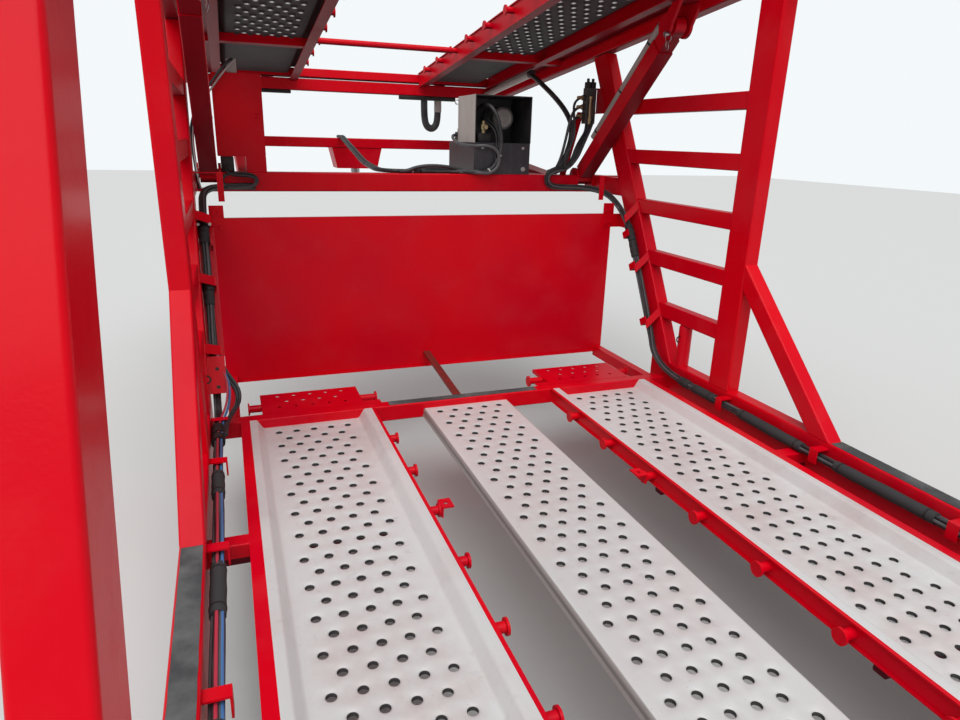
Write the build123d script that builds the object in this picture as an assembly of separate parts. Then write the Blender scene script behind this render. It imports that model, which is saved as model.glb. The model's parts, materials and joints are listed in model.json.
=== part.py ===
"""Front deck bay of a car transporter trailer, with its gooseneck and its tilting upper deck.

Millimetres. +X is the right side of the trailer, +Y points forward and +Z up. The origin is on the
underside of the coupler box, on the axis of the kingpin.
"""

from build123d import *
import math
import os

# Levels above the coupler box's underside
DECK_Z = -1004.0
RAIL_TOP_Z = -920.0
RAIL_DEPTH = 235.0
TOP_RAIL_Z = 946.0
GOOSE_REAR_Z = 56.0
GOOSE_FRONT_Z = 244.0

# Widths, measured from the centre line
RAIL_OUT_X = 1297.0
RAIL_W = 75.0
TRACK_OUT_X = 1100.0
TRACK_IN_X = 486.0
BULKHEAD_SIDE_GAP = 67.0

# Places along the trailer
REAR_END_Y = -5930.0
NEAR_POST_INSET = 179.0
RAIL_FRONT_Y = -2880.0
FRONT_CROSS_Y = -3055.0
BULKHEAD_Y = -2396.0
NEAR_POST_Y = REAR_END_Y + NEAR_POST_INSET
MID_POST_Y = -3472.0
FRONT_POST_Y = -2968.0
BRACE_Y = -4129.0
GOOSE_REAR_Y = -2030.0
GOOSE_FRONT_Y = -130.0
PORTAL_Y = -310.0

# Box sections
POST_DEPTH = 150.0
TUBE_R = 9.0
SMALL_TUBE_R = 6.0
CROSS_W = 65.0
CROSS_H = 80.0
REAR_CROSS_W = 80.0
BRACE_W = 87.0
RUNG_W = 61.0
RUNG_H = 80.0
TOP_RAIL_H = 100.0
GOOSE_W = 100.0
GOOSE_REAR_H = 105.0
GOOSE_FRONT_H = 78.0
GOOSE_SIDE_X = 950.0
PORTAL_W = 80.0
PORTAL_H = 87.0
PORTAL_TOP_Z = 678.0
PORTAL_SIDE_GAP = 10.0

# Leaning members, in degrees from upright
NEAR_POST_LEAN = 21.0
FRONT_POST_LEAN = 30.0
BRACE_LEAN = -45.0

# Ladder between the middle and the front post
RUNG_COUNT = 5
RUNG_PITCH = 278.5
LOWEST_RUNG_Z = -647.0

# Wheel tracks
SHEET = 5.0
PAN_DEPTH = 45.0
PAN_SLOPE_W = 27.0
LIP_IN_W = 38.0
LIP_OUT_W = 32.0
EDGE_H = 70.0
EDGE_T = 6.0
EDGE_FLANGE_OUT = 40.0
EDGE_FLANGE_IN = 14.0
PLANK_HALF_W = 229.0
PLANK_DROP = 33.0
PLANK_DEPTH = 38.0
PLANK_R = 14.0
OUTRIGGER_W = 62.0
OUTRIGGER_H = 75.0
OUTRIGGER_YS = (-5080.0, -4060.0)
BEARER_W = 44.0
BEARER_H = 50.0
BEARER_YS = (-5106.5, -4056.5)

# Spools that the tie-down chains hook to
SPOOL_PITCH = 330.0
SPOOL_FIRST_Y = -3360.0
SPOOL_STEM_R = 17.0
SPOOL_HEAD_R = 26.0
SPOOL_HEAD_T = 8.0
SPOOL_REACH = 52.0
PLATED_SPOOL = 2
SPOOL_PLATE_L = 62.0
SPOOL_PLATE_W = 46.0
SPOOL_PLATE_HOLE_R = 9.0

# Step plates in front of the front cross-member
STEP_IN_X = 515.0
STEP_OUT_X = 1000.0
STEP_L = 258.0
STEP_HOLE_R = 11.0
STEP_HOLES = (5, 4, 5)
STEP_HOLE_PITCH = 80.0
STEP_ROW_START = 70.0
STEP_ROW_PITCH = 75.0
STEP_LEDGE_L = 40.0
STEP_TUBE_R = 18.0
STEP_FLANGE_R = 30.0
STEP_FLANGE_T = 8.0
STEP_WELD = 3.0
STEP_TUBE_IN_X = 430.0
STEP_TUBE_GAP = 38.0

# Bulkhead
BULKHEAD_LOW_Z = -1034.0
BULKHEAD_HIGH_Z = -154.0
BULKHEAD_FLANGE = 25.0
RIB_W = 60.0
RIB_D = 30.0
RIB_XS = (-600.0, 0.0, 600.0)
BRACKET_LOW_Z = -234.0
BRACKET_H = 80.0
BRACKET_INSET = 50.0
BRACKET_OVERLAP = 59.0
BRACKET_TAB_W = 70.0
BRACKET_TAB_Z = -90.0
STRINGER_INSET = 30.0
STRINGER_W = 50.0
STRINGER_H = 60.0
STRUT_X = -30.0
STRUT_W = 40.0
STRUT_T = 12.0
STRUT_RISE = 58.0

# Coupler
KINGPIN_NECK_R = 25.4
KINGPIN_COLLAR_R = 36.5
KINGPIN_FLANGE_R = 35.7
KINGPIN_LEVELS = (0.0, -35.0, -71.0, -84.0)
KINGPIN_CHAMFER = 4.0
COUPLER_TOP_HALF_W = 210.0
COUPLER_LOW_HALF_W = 170.0
COUPLER_HALF_L = 120.0

# Upper deck: it slopes down to its hinge at the front
DECK_SLOPE = 6.085
DECK_REAR_Y = -3350.0
DECK_FRONT_Y = -250.0
DECK_LOW_Z = 683.0
DECK_BEAM_W = 70.0
DECK_BEAM_H = 63.0
DECK_SIDE_H = 70.0
DECK_SIDE_DROP = 77.0
DECK_BEARER_W = 60.0
DECK_BEARERS = (1127.0, 2690.0, 3050.0)
DECK_EDGE_DROP = 34.0
DECK_EDGE_FOOT = 60.0
HANGER_BEARER = 1
TIE_BAR_R = 19.0
TIE_BAR_BACK = 1083.0
DECK_SPOOLS = (-2, -1, 0, 1, 2, 3, 4, 5, 6)
REST_GAP = 6.0

# Deck hinge
HINGE_Y = -190.0
HINGE_Z = 700.0
HINGE_X = 700.0
HINGE_PIN_R = 15.0
HINGE_LUG_R = 33.0
HINGE_LUG_T = 14.0
KNUCKLE_R = 28.0
KNUCKLE_W = 44.0
KNUCKLE_LIFT = 8.0
PIN_PLAY = 0.5
SIDE_PLAY = 5.0

# Lift arms
ARM_X = 1156.0
ARM_W = 92.0
ARM_H = 95.0
ARM_WALL = 6.0
ARM_PIVOT_Y = -1980.0
ARM_PIVOT_Z = 46.0
ARM_EYE_Y = -2870.0
ARM_EYE_Z = 836.0
ARM_PIN_R = 25.0
ARM_BOSS_R = 50.0
SLEEVE_START = 46.0
SLEEVE_END = 1060.0
ROD_START = 330.0
ROD_PLAY = 0.3
EYE_R = 50.0
EYE_BORE_R = 33.0
EYE_PIN_R = 24.0
EYE_W = 60.0
CHEEK_T = 15.0
CHEEK_IN_X = 1090.0
CHEEK_R = 55.0
PIPE_R = 22.0
PIPE_X = 1132.0
PIPE_START = 290.0
PIPE_END = 1130.0
STRAP_T = 4.0
STRAP_W = 22.0
STRAPS = (350.0, 680.0, 1020.0)

# Equipment on the gooseneck
CABINET_OUT_X = -1103.0
CABINET_IN_X = -850.0
CABINET_LOW_Z = 138.0
CABINET_HIGH_Z = 564.0
CABINET_EDGE_Z = 490.0
CABINET_CUT_X = -1034.0
CABINET_D = 190.0
CABINET_COVER_D = 30.0
CABINET_FEET = ((-1085.0, -1025.0), (-957.0, -850.0))
UNIT_LEFT_X = 378.0
UNIT_RIGHT_X = 751.0
UNIT_Y = -2026.0
UNIT_D = 330.0
UNIT_H = 276.0
UNIT_WALL = 6.0
TANK_D = 520.0
TANK_H = 188.0
TANK_CORNER_R = 8.0
MOTOR_R = 72.0
MOTOR_X = 608.0
MOTOR_Z = 392.0
MOTOR_L = 210.0
MOTOR_CHAMFER = 8.0
SHELF_T = 15.0

# Valve manifold beside the right front post, where the bundle ends
MANIFOLD_X = 1150.0
MANIFOLD_Y = -2020.0
MANIFOLD_LOW_Z = 375.0
MANIFOLD_W = 70.0
MANIFOLD_D = 58.0
MANIFOLD_H = 213.0
MANIFOLD_PLATE_H = 150.0
PORT_R = 17.0
PORT_L = 16.0
PORT_ZS = (420.0, 475.0, 530.0)

# Hose bundles clipped along the frame
HOSE_R = 21.0
HOSE_X = 1192.0
HOSE_PLAY = 0.3
HOSE_STEP = 600.0
HOSE_WOBBLE = 4.0
HOSE_CLIMB = ((-975.0, -110.0), (-905.0, 22.0), (-800.0, 8.0), (-600.0, 3.0), (-390.0, 8.0), (-225.0, 4.0),
              (-100.0, 76.0))
HOSE_CORNER = (-2210.0, -25.0)
HOSE_ALONG_BEAM = ((1072.0, -18.0), (920.0, -20.0))
HOSE_FOLD = ((868.0, 4.0), (868.0, 62.0), (925.0, 92.0), (1000.0, 96.0), (1048.0, 150.0), (1066.0, 213.0))
HOSE_TOP = ((1112.0, -2038.0, 285.0), (MANIFOLD_X, MANIFOLD_Y, 325.0))
CLIP_T = 6.0
CLIP_GAP = 14.0
CLIP_W = 40.0
CLIP_ZS = (-720.0, -425.0, -250.0)
CLIP_FIRST_Y = -3567.0
CLIP_PITCH = 611.0
GUIDE_Y = -2350.0
GUIDE_IN_X = 1085.0
GUIDE_W = 30.0
GUIDE_LOW_Z = -75.0
GUIDE_HIGH_Z = 70.0

# Lock tube that stands on the rail behind each front post
LOCK_TUBE_R = 36.0
LOCK_TUBE_Y = -3115.0
LOCK_TUBE_TOP_R = 14.0
LOCK_HOLE_R = 7.0
LOCK_HOLE_DROP = 62.0

RAIL_IN_X = RAIL_OUT_X - RAIL_W
BULKHEAD_HALF_W = RAIL_IN_X - BULKHEAD_SIDE_GAP
PORTAL_HALF_W = RAIL_IN_X - PORTAL_SIDE_GAP
STRINGER_X = BULKHEAD_HALF_W - STRINGER_INSET
STEP_TUBE_OUT_X = STRINGER_X - STRINGER_W / 2 - STEP_TUBE_GAP
PAN_FRONT_Y = FRONT_CROSS_Y
PAN_REAR_Y = REAR_END_Y + REAR_CROSS_W
SPOOL_COUNT = int((SPOOL_FIRST_Y - SPOOL_HEAD_R - PAN_REAR_Y) // SPOOL_PITCH) + 1
FRONT_CROSS_FRONT_Y = FRONT_CROSS_Y + CROSS_W
ARM_DY = ARM_EYE_Y - ARM_PIVOT_Y
ARM_DZ = ARM_EYE_Z - ARM_PIVOT_Z
ARM_LENGTH = math.hypot(ARM_DY, ARM_DZ)
ARM_ANGLE = math.degrees(math.atan2(ARM_DZ, ARM_DY))
DECK_LENGTH = (DECK_FRONT_Y - DECK_REAR_Y) / math.cos(math.radians(DECK_SLOPE))

nodes = {}


def block(x0, x1, y0, y1, z0, z1):
    """A box given by its two limits along each axis."""
    centre = Pos((x0 + x1) / 2, (y0 + y1) / 2, (z0 + z1) / 2)
    return centre * Box(abs(x1 - x0), abs(y1 - y0), abs(z1 - z0))


def side_prism(outline, x0, x1):
    """A bar from x0 to x1 whose outline in side view is a list of (y, z) corners."""
    face = make_face(Polyline(*[(x0, y, z) for y, z in outline], close=True))
    return extrude(face, amount=x1 - x0, dir=(1, 0, 0))


def end_prism(outline, y0, y1):
    """A bar from y0 to y1 whose outline in end view is a list of (x, z) corners."""
    face = make_face(Polyline(*[(x, y0, z) for x, z in outline], close=True))
    return extrude(face, amount=y1 - y0, dir=(0, 1, 0))


def rounded(part, direction, radius=TUBE_R):
    """Round the edges of a straight bar that run along its length."""
    along = Vector(*direction).normalized()
    edges = [e for e in part.edges() if abs((e @ 1 - e @ 0).normalized().dot(along)) > 0.9999]
    return fillet(edges, radius)


def lateral_rod(radius, x0, x1, y, z):
    """A round bar across the trailer from x0 to x1."""
    return Pos((x0 + x1) / 2, y, z) * Rot(0, 90, 0) * Cylinder(radius, abs(x1 - x0))


def folded_sheet(top, thickness):
    """Closed section of a sheet: its top line, then the same line one thickness below."""
    below = []
    for i, (x, z) in enumerate(top):
        normals = []
        for j in (i - 1, i):
            if 0 <= j < len(top) - 1:
                dx = top[j + 1][0] - top[j][0]
                dz = top[j + 1][1] - top[j][1]
                length = math.hypot(dx, dz)
                normals.append((dz / length, -dx / length))
        nx = sum(n[0] for n in normals)
        nz = sum(n[1] for n in normals)
        scale = thickness * len(normals) / (nx * nx + nz * nz)
        below.append((x + nx * scale, z + nz * scale))
    return list(top) + below[::-1]


def both_sides(name, part):
    """Store the right-hand piece and its mirror image."""
    nodes[name + "_right"] = part
    nodes[name + "_left"] = mirror(part, Plane.YZ)


def pair(part):
    """The right-hand piece and its mirror image, for one node."""
    return [part, mirror(part, Plane.YZ)]


def leaning_bar(foot_y, lean, depth, low, high, x0, x1, high_slope=0.0):
    """A flat-sided bar that leans forward, cut level at its foot and to a slope at its top."""
    run = math.tan(math.radians(lean))
    half = depth / math.cos(math.radians(lean)) / 2
    rise = math.tan(math.radians(high_slope))
    corners = []
    for offset in (-half, half):
        top_z = (high + rise * (foot_y + offset - low * run)) / (1 - rise * run)
        corners.append((foot_y + offset + (top_z - low) * run, top_z))
    outline = [(foot_y - half, low), (foot_y + half, low), corners[1], corners[0]]
    return rounded(side_prism(outline, x0, x1), (0, run, 1))


def deck_point(back, up):
    """Place (y, z) of a point of the upper deck: distance back along it and height over its rails."""
    slope = math.radians(DECK_SLOPE)
    y = DECK_FRONT_Y - back * math.cos(slope) + up * math.sin(slope)
    z = DECK_LOW_Z + back * math.sin(slope) + up * math.cos(slope)
    return y, z


def on_deck(part):
    """Move a piece drawn flat, with its front end at y = 0, to its place on the sloping deck."""
    return Pos(0, DECK_FRONT_Y, DECK_LOW_Z) * Rot(-DECK_SLOPE, 0, 0) * part


def on_arm(part):
    """Move a piece drawn along +Y from the pivot to its place on the lift arm."""
    return Pos(0, ARM_PIVOT_Y, ARM_PIVOT_Z) * Rot(ARM_ANGLE, 0, 0) * part


def side_frames():
    """Side rails, posts, braces, ladder rungs and top rails."""
    rail = block(RAIL_IN_X, RAIL_OUT_X, REAR_END_Y, RAIL_FRONT_Y, RAIL_TOP_Z - RAIL_DEPTH, RAIL_TOP_Z)
    both_sides("side_rail", rounded(rail, (0, 1, 0)))

    both_sides("near_post", leaning_bar(NEAR_POST_Y, NEAR_POST_LEAN, POST_DEPTH, RAIL_TOP_Z, TOP_RAIL_Z,
                                        RAIL_IN_X, RAIL_OUT_X))
    half = POST_DEPTH / 2
    mid = block(RAIL_IN_X, RAIL_OUT_X, MID_POST_Y - half, MID_POST_Y + half, RAIL_TOP_Z,
                TOP_RAIL_Z + TOP_RAIL_H)
    both_sides("mid_post", rounded(mid, (0, 0, 1)))

    slope = -math.tan(math.radians(DECK_SLOPE))
    seat_y, seat_z = deck_point(0, -DECK_SIDE_DROP)
    level = seat_z - slope * seat_y - REST_GAP
    both_sides("front_post", leaning_bar(FRONT_POST_Y, FRONT_POST_LEAN, POST_DEPTH, RAIL_TOP_Z, level,
                                         RAIL_IN_X, RAIL_OUT_X, -DECK_SLOPE))

    mid_rear = MID_POST_Y - half
    reach = BRACE_W / math.cos(math.radians(BRACE_LEAN)) / 2
    foot, rail_z = BRACE_Y, RAIL_TOP_Z
    outline = [(foot - reach, rail_z), (foot + reach, rail_z), (mid_rear, rail_z + mid_rear - foot - reach),
               (mid_rear, rail_z + mid_rear - foot + reach)]
    nodes["braces"] = Compound(pair(rounded(side_prism(outline, RAIL_IN_X, RAIL_OUT_X), (0, 1, 1))))

    near_run = math.tan(math.radians(NEAR_POST_LEAN))
    near_half = POST_DEPTH / math.cos(math.radians(NEAR_POST_LEAN)) / 2
    top_rear = NEAR_POST_Y + (TOP_RAIL_Z - RAIL_TOP_Z) * near_run - near_half
    top = block(RAIL_IN_X, RAIL_OUT_X, top_rear, mid_rear, TOP_RAIL_Z, TOP_RAIL_Z + TOP_RAIL_H)
    nodes["top_rails"] = Compound(pair(rounded(top, (0, 1, 0))))

    run = math.tan(math.radians(FRONT_POST_LEAN))
    post_half = POST_DEPTH / math.cos(math.radians(FRONT_POST_LEAN)) / 2
    rung_x = (RAIL_IN_X + RAIL_OUT_X) / 2
    rungs = []
    for i in range(RUNG_COUNT):
        z0 = LOWEST_RUNG_Z + i * RUNG_PITCH - RUNG_H / 2
        z1 = z0 + RUNG_H
        ends = [FRONT_POST_Y - post_half + (z - RAIL_TOP_Z) * run for z in (z0, z1)]
        outline = [(MID_POST_Y + half, z0), (ends[0], z0), (ends[1], z1), (MID_POST_Y + half, z1)]
        rungs.append(rounded(side_prism(outline, rung_x - RUNG_W / 2, rung_x + RUNG_W / 2), (0, 1, 0),
                             SMALL_TUBE_R))
    top_z = LOWEST_RUNG_Z - RUNG_H / 2
    tube = Pos(rung_x, LOCK_TUBE_Y, (RAIL_TOP_Z + top_z) / 2) * Cylinder(LOCK_TUBE_R, top_z - RAIL_TOP_Z)
    tube = fillet(tube.edges().sort_by(Axis.Z)[-1], LOCK_TUBE_TOP_R)
    hole_z = top_z - LOCK_HOLE_DROP
    tube -= lateral_rod(LOCK_HOLE_R, rung_x - LOCK_TUBE_R, rung_x + LOCK_TUBE_R, LOCK_TUBE_Y, hole_z)
    both_sides("ladder_rungs", Compound(rungs + [tube]))


def cross_members():
    """Cross-members at both ends of the lower deck and the outriggers that carry its tracks."""
    rear = block(-RAIL_IN_X, RAIL_IN_X, REAR_END_Y, PAN_REAR_Y, DECK_Z - CROSS_H, DECK_Z)
    front = block(-RAIL_IN_X, RAIL_IN_X, FRONT_CROSS_Y, FRONT_CROSS_FRONT_Y, DECK_Z - CROSS_H, DECK_Z)
    nodes["crossmembers"] = Compound([rounded(beam, (1, 0, 0), SMALL_TUBE_R) for beam in (rear, front)])

    pieces = []
    for y in OUTRIGGER_YS:
        stub = block(TRACK_OUT_X, RAIL_IN_X, y - OUTRIGGER_W / 2, y + OUTRIGGER_W / 2, DECK_Z - OUTRIGGER_H,
                     DECK_Z)
        pieces += pair(rounded(stub, (1, 0, 0), SMALL_TUBE_R))
    under_z = DECK_Z - PAN_DEPTH - SHEET
    for y in BEARER_YS:
        under = block(TRACK_IN_X + EDGE_T, TRACK_OUT_X - EDGE_T, y - BEARER_W / 2, y + BEARER_W / 2,
                      under_z - BEARER_H, under_z)
        pieces += pair(rounded(under, (1, 0, 0), SMALL_TUBE_R))
    nodes["outriggers"] = Compound(pieces)


def pan_section(level):
    """End outline of a track pan with its two raised lips, for the right-hand side."""
    out_x = TRACK_OUT_X - EDGE_FLANGE_OUT
    in_x = TRACK_IN_X + EDGE_T
    top = [(out_x, level), (out_x - LIP_OUT_W, level), (out_x - LIP_OUT_W - PAN_SLOPE_W, level - PAN_DEPTH),
           (in_x + LIP_IN_W + PAN_SLOPE_W, level - PAN_DEPTH), (in_x + LIP_IN_W, level), (in_x, level)]
    return folded_sheet(top[::-1], SHEET)


def edge_sections(level):
    """End outlines of the angle outside a track and the channel inside it."""
    x = TRACK_OUT_X
    angle = [(x, level), (x, level - EDGE_H), (x - EDGE_T, level - EDGE_H), (x - EDGE_T, level - EDGE_T),
             (x - EDGE_FLANGE_OUT, level - EDGE_T), (x - EDGE_FLANGE_OUT, level)]
    x0, x1, tip = TRACK_IN_X, TRACK_IN_X + EDGE_T, TRACK_IN_X + EDGE_T - EDGE_FLANGE_IN
    channel = [(x1, level), (x1, level - EDGE_H), (tip, level - EDGE_H), (tip, level - EDGE_H + EDGE_T),
               (x0, level - EDGE_H + EDGE_T), (x0, level - EDGE_T), (tip, level - EDGE_T), (tip, level)]
    return angle, channel


def deck_edge_sections():
    """End outlines of the upper deck's edge channels: outside a track, with its side plate, and inside it."""
    x, foot, level = TRACK_OUT_X, DECK_EDGE_FOOT, EDGE_H
    low = -DECK_EDGE_DROP
    leg_x, side_top = RAIL_IN_X + TUBE_R, DECK_SIDE_H - DECK_SIDE_DROP
    outer = [(x, level), (x, SHEET), (leg_x + EDGE_T, SHEET), (leg_x + EDGE_T, side_top), (leg_x, side_top),
             (leg_x, 0), (x, 0), (x, low), (x - foot, low), (x - foot, low + EDGE_T), (x - EDGE_T, low + EDGE_T),
             (x - EDGE_T, level - EDGE_T), (x - EDGE_FLANGE_OUT, level - EDGE_T), (x - EDGE_FLANGE_OUT, level)]
    x0, x1, tip = TRACK_IN_X, TRACK_IN_X + EDGE_T, TRACK_IN_X + EDGE_T - EDGE_FLANGE_IN
    inner = [(x1, level), (x1, low + EDGE_T), (x0 + foot, low + EDGE_T), (x0 + foot, low), (x0, low),
             (x0, level - EDGE_T), (tip, level - EDGE_T), (tip, level)]
    return outer, inner


def spool(y, z):
    """A tie-down spool that stands inward from the channel's web."""
    tip = TRACK_IN_X - SPOOL_REACH
    stem = lateral_rod(SPOOL_STEM_R, tip + SPOOL_HEAD_T / 2, TRACK_IN_X, y, z)
    head = lateral_rod(SPOOL_HEAD_R, tip, tip + SPOOL_HEAD_T, y, z)
    return stem + head


def spool_plate(y, z):
    """The drilled plate on top of one spool, folded down over its head."""
    tip = TRACK_IN_X - SPOOL_REACH
    top = z + SPOOL_HEAD_R
    half = SPOOL_PLATE_L / 2
    plate = block(tip - SPOOL_PLATE_W, tip, y - half, y + half, top - EDGE_T, top)
    plate += block(tip - EDGE_T, tip, y - half, y + half, z - SPOOL_STEM_R, top - EDGE_T)
    return plate - Pos(tip - SPOOL_PLATE_W / 2, y, top) * Cylinder(SPOOL_PLATE_HOLE_R, 4 * EDGE_T)


def lower_tracks():
    """The two wheel tracks and the plank between them."""
    both_sides("track_pan", end_prism(pan_section(DECK_Z), PAN_REAR_Y, PAN_FRONT_Y))
    angle, channel = edge_sections(DECK_Z)
    outer = end_prism(angle, PAN_REAR_Y, PAN_FRONT_Y)
    inner = end_prism(channel, PAN_REAR_Y, PAN_FRONT_Y)
    for i in range(SPOOL_COUNT):
        inner += spool(SPOOL_FIRST_Y - i * SPOOL_PITCH, DECK_Z - EDGE_H / 2)
    inner += spool_plate(SPOOL_FIRST_Y - PLATED_SPOOL * SPOOL_PITCH, DECK_Z - EDGE_H / 2)
    both_sides("track_edges", Compound([outer, inner]))

    top_z = DECK_Z - PLANK_DROP
    shell = rounded(block(-PLANK_HALF_W, PLANK_HALF_W, PAN_REAR_Y, PAN_FRONT_Y, top_z - PLANK_DEPTH,
                          top_z + PLANK_R), (0, 1, 0), PLANK_R)
    shell &= block(-PLANK_HALF_W, PLANK_HALF_W, PAN_REAR_Y, PAN_FRONT_Y, top_z - PLANK_DEPTH + PLANK_R,
                   top_z + PLANK_R)
    hollow = rounded(block(-PLANK_HALF_W + SHEET, PLANK_HALF_W - SHEET, PAN_REAR_Y, PAN_FRONT_Y,
                           top_z - 2 * PLANK_DEPTH, top_z + PLANK_R - SHEET), (0, 1, 0), PLANK_R - SHEET)
    nodes["centre_plank"] = Pos(0, 0, -PLANK_R) * (shell - hollow)


def step_plates():
    """Perforated step plates in front of the cross-member, each on a flanged tube."""
    y0, y1 = FRONT_CROSS_FRONT_Y, FRONT_CROSS_FRONT_Y + STEP_L
    section = [(STEP_IN_X, DECK_Z - 4 * SHEET), (STEP_IN_X, DECK_Z), (STEP_OUT_X, DECK_Z),
               (STEP_OUT_X, DECK_Z - 4 * SHEET)]
    plate = end_prism(folded_sheet(section, SHEET), y0, y1)
    plate += block(STEP_TUBE_IN_X, STEP_IN_X, y0, y0 + STEP_LEDGE_L, DECK_Z - SHEET, DECK_Z)
    middle = (STEP_IN_X + STEP_OUT_X) / 2
    for row, count in enumerate(STEP_HOLES):
        for column in range(count):
            x = middle + (column - (count - 1) / 2) * STEP_HOLE_PITCH
            y = y0 + STEP_ROW_START + row * STEP_ROW_PITCH
            plate -= Pos(x, y, DECK_Z) * Cylinder(STEP_HOLE_R, 4 * SHEET)
    z = DECK_Z - SHEET - STEP_TUBE_R + STEP_WELD
    y = y0 + STEP_L / 2
    tube = lateral_rod(STEP_TUBE_R, STEP_TUBE_IN_X, STEP_TUBE_OUT_X, y, z)
    for x in (STEP_TUBE_IN_X, STEP_TUBE_OUT_X - STEP_FLANGE_T):
        tube += lateral_rod(STEP_FLANGE_R, x, x + STEP_FLANGE_T, y, z)
    nodes["step_plates"] = Compound(pair(plate + tube))


def bulkhead():
    """The sheet wall under the gooseneck, its brackets and the stringers that hold its foot."""
    w, y, t = BULKHEAD_HALF_W, BULKHEAD_Y, SHEET
    low, high, flange = BULKHEAD_LOW_Z, BULKHEAD_HIGH_Z, BULKHEAD_FLANGE
    wall = block(-w, w, y, y + t, low, high)
    wall += block(-w, w, y - flange, y, low, low + t)
    wall += block(-w, w, y + t, y + flange, high - t, high)
    for side in (-1, 1):
        wall += block(side * w, side * (w - t), y + t, y + flange, low, high - t)
    for x in RIB_XS:
        wall += block(x - RIB_W / 2, x + RIB_W / 2, y + t, y + t + RIB_D, low + RIB_W, high - RIB_W)
    nodes["bulkhead"] = wall

    run = math.tan(math.radians(FRONT_POST_LEAN))
    levels = (BRACKET_LOW_Z, BRACKET_LOW_Z + BRACKET_H)
    posts = [FRONT_POST_Y + (z - RAIL_TOP_Z) * run + BRACKET_INSET for z in levels]
    strip = side_prism([(posts[0], levels[0]), (y, levels[0]), (y, levels[1]), (posts[1], levels[1])],
                       RAIL_IN_X - EDGE_T, RAIL_IN_X)
    tab_x = w - BRACKET_OVERLAP
    tab = block(tab_x, RAIL_IN_X, y - EDGE_T, y, levels[0], levels[1])
    tab += block(tab_x, tab_x + BRACKET_TAB_W, y - EDGE_T, y, levels[1], BRACKET_TAB_Z)
    nodes["bulkhead_brackets"] = Compound(pair(strip + tab))

    x0, x1 = STRINGER_X - STRINGER_W / 2, STRINGER_X + STRINGER_W / 2
    stringer = block(x0, x1, FRONT_CROSS_FRONT_Y, y - flange, DECK_Z - STRINGER_H, DECK_Z)
    stringer += block(x0, x1, y - flange, y, low + t, DECK_Z)
    stringer += block(x0, x1, y - flange, y, DECK_Z - STRINGER_H, low)
    low_z, high_z = DECK_Z - STRUT_T, DECK_Z - STRUT_T + STRUT_RISE
    start = FRONT_CROSS_FRONT_Y
    strut = side_prism([(start, low_z), (start, low_z + STRUT_T), (y, high_z + STRUT_T), (y, high_z)],
                       STRUT_X - STRUT_W / 2, STRUT_X + STRUT_W / 2)
    nodes["front_stringers"] = Compound(pair(stringer) + [strut])


def gooseneck():
    """Beams that carry the coupler, and the portal that carries the upper deck's hinge."""
    rear_front_y = GOOSE_REAR_Y + GOOSE_W
    beam = block(-CHEEK_IN_X, CHEEK_IN_X, GOOSE_REAR_Y, rear_front_y, GOOSE_REAR_Z - GOOSE_REAR_H,
                 GOOSE_REAR_Z)

    half = GOOSE_W / 2
    front_face = GOOSE_FRONT_Y
    x0, x1 = GOOSE_SIDE_X - half, GOOSE_SIDE_X + half
    z_rear = GOOSE_REAR_Z - GOOSE_REAR_H
    z_front = GOOSE_FRONT_Z - GOOSE_FRONT_H
    outline = [(rear_front_y, z_rear), (front_face, z_front), (front_face, GOOSE_FRONT_Z),
               (rear_front_y, GOOSE_REAR_Z)]
    nodes["gooseneck_side_beams"] = Compound(pair(side_prism(outline, x0, x1)))

    front = block(-x1, x1, front_face, front_face + GOOSE_W, z_front, GOOSE_FRONT_Z)
    nodes["gooseneck_crossbeams"] = Compound([rounded(beam, (1, 0, 0)), rounded(front, (1, 0, 0))])

    run = math.tan(math.radians(FRONT_POST_LEAN))
    post_half = POST_DEPTH / math.cos(math.radians(FRONT_POST_LEAN)) / 2
    ends = [FRONT_POST_Y + post_half + (z - RAIL_TOP_Z) * run for z in (z_rear, GOOSE_REAR_Z)]
    shoulder = side_prism([(ends[0], z_rear), (rear_front_y, z_rear), (rear_front_y, GOOSE_REAR_Z),
                           (ends[1], GOOSE_REAR_Z)], RAIL_IN_X, RAIL_OUT_X)
    nodes["gooseneck_shoulders"] = Compound(pair(rounded(shoulder, (0, 1, 0), SMALL_TUBE_R)))

    top, low, length = COUPLER_TOP_HALF_W, COUPLER_LOW_HALF_W, COUPLER_HALF_L
    outline = [(-low, 0), (low, 0), (top, z_front), (-top, z_front)]
    nodes["coupler_box"] = end_prism(outline, -length, length)
    radii = (KINGPIN_COLLAR_R, KINGPIN_NECK_R, KINGPIN_FLANGE_R)
    pin = [Pos(0, 0, (a + b) / 2) * Cylinder(r, a - b)
           for r, a, b in zip(radii, KINGPIN_LEVELS, KINGPIN_LEVELS[1:])]
    nodes["kingpin"] = chamfer((pin[0] + pin[1] + pin[2]).edges().sort_by(Axis.Z)[0], KINGPIN_CHAMFER)

    slope = (GOOSE_FRONT_Z - GOOSE_REAR_Z) / (front_face - rear_front_y)
    y0, y1 = PORTAL_Y, PORTAL_Y + PORTAL_W
    feet = [GOOSE_REAR_Z + (y - rear_front_y) * slope for y in (y0, y1)]
    top_z = PORTAL_TOP_Z - PORTAL_H
    post = side_prism([(y0, feet[0]), (y1, feet[1]), (y1, top_z), (y0, top_z)], x0, x1)
    nodes["portal_posts"] = Compound(pair(rounded(post, (0, 0, 1))))
    portal = block(-PORTAL_HALF_W, PORTAL_HALF_W, y0, y1, top_z, PORTAL_TOP_Z)
    nodes["portal_beam"] = rounded(portal, (1, 0, 0))


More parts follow.
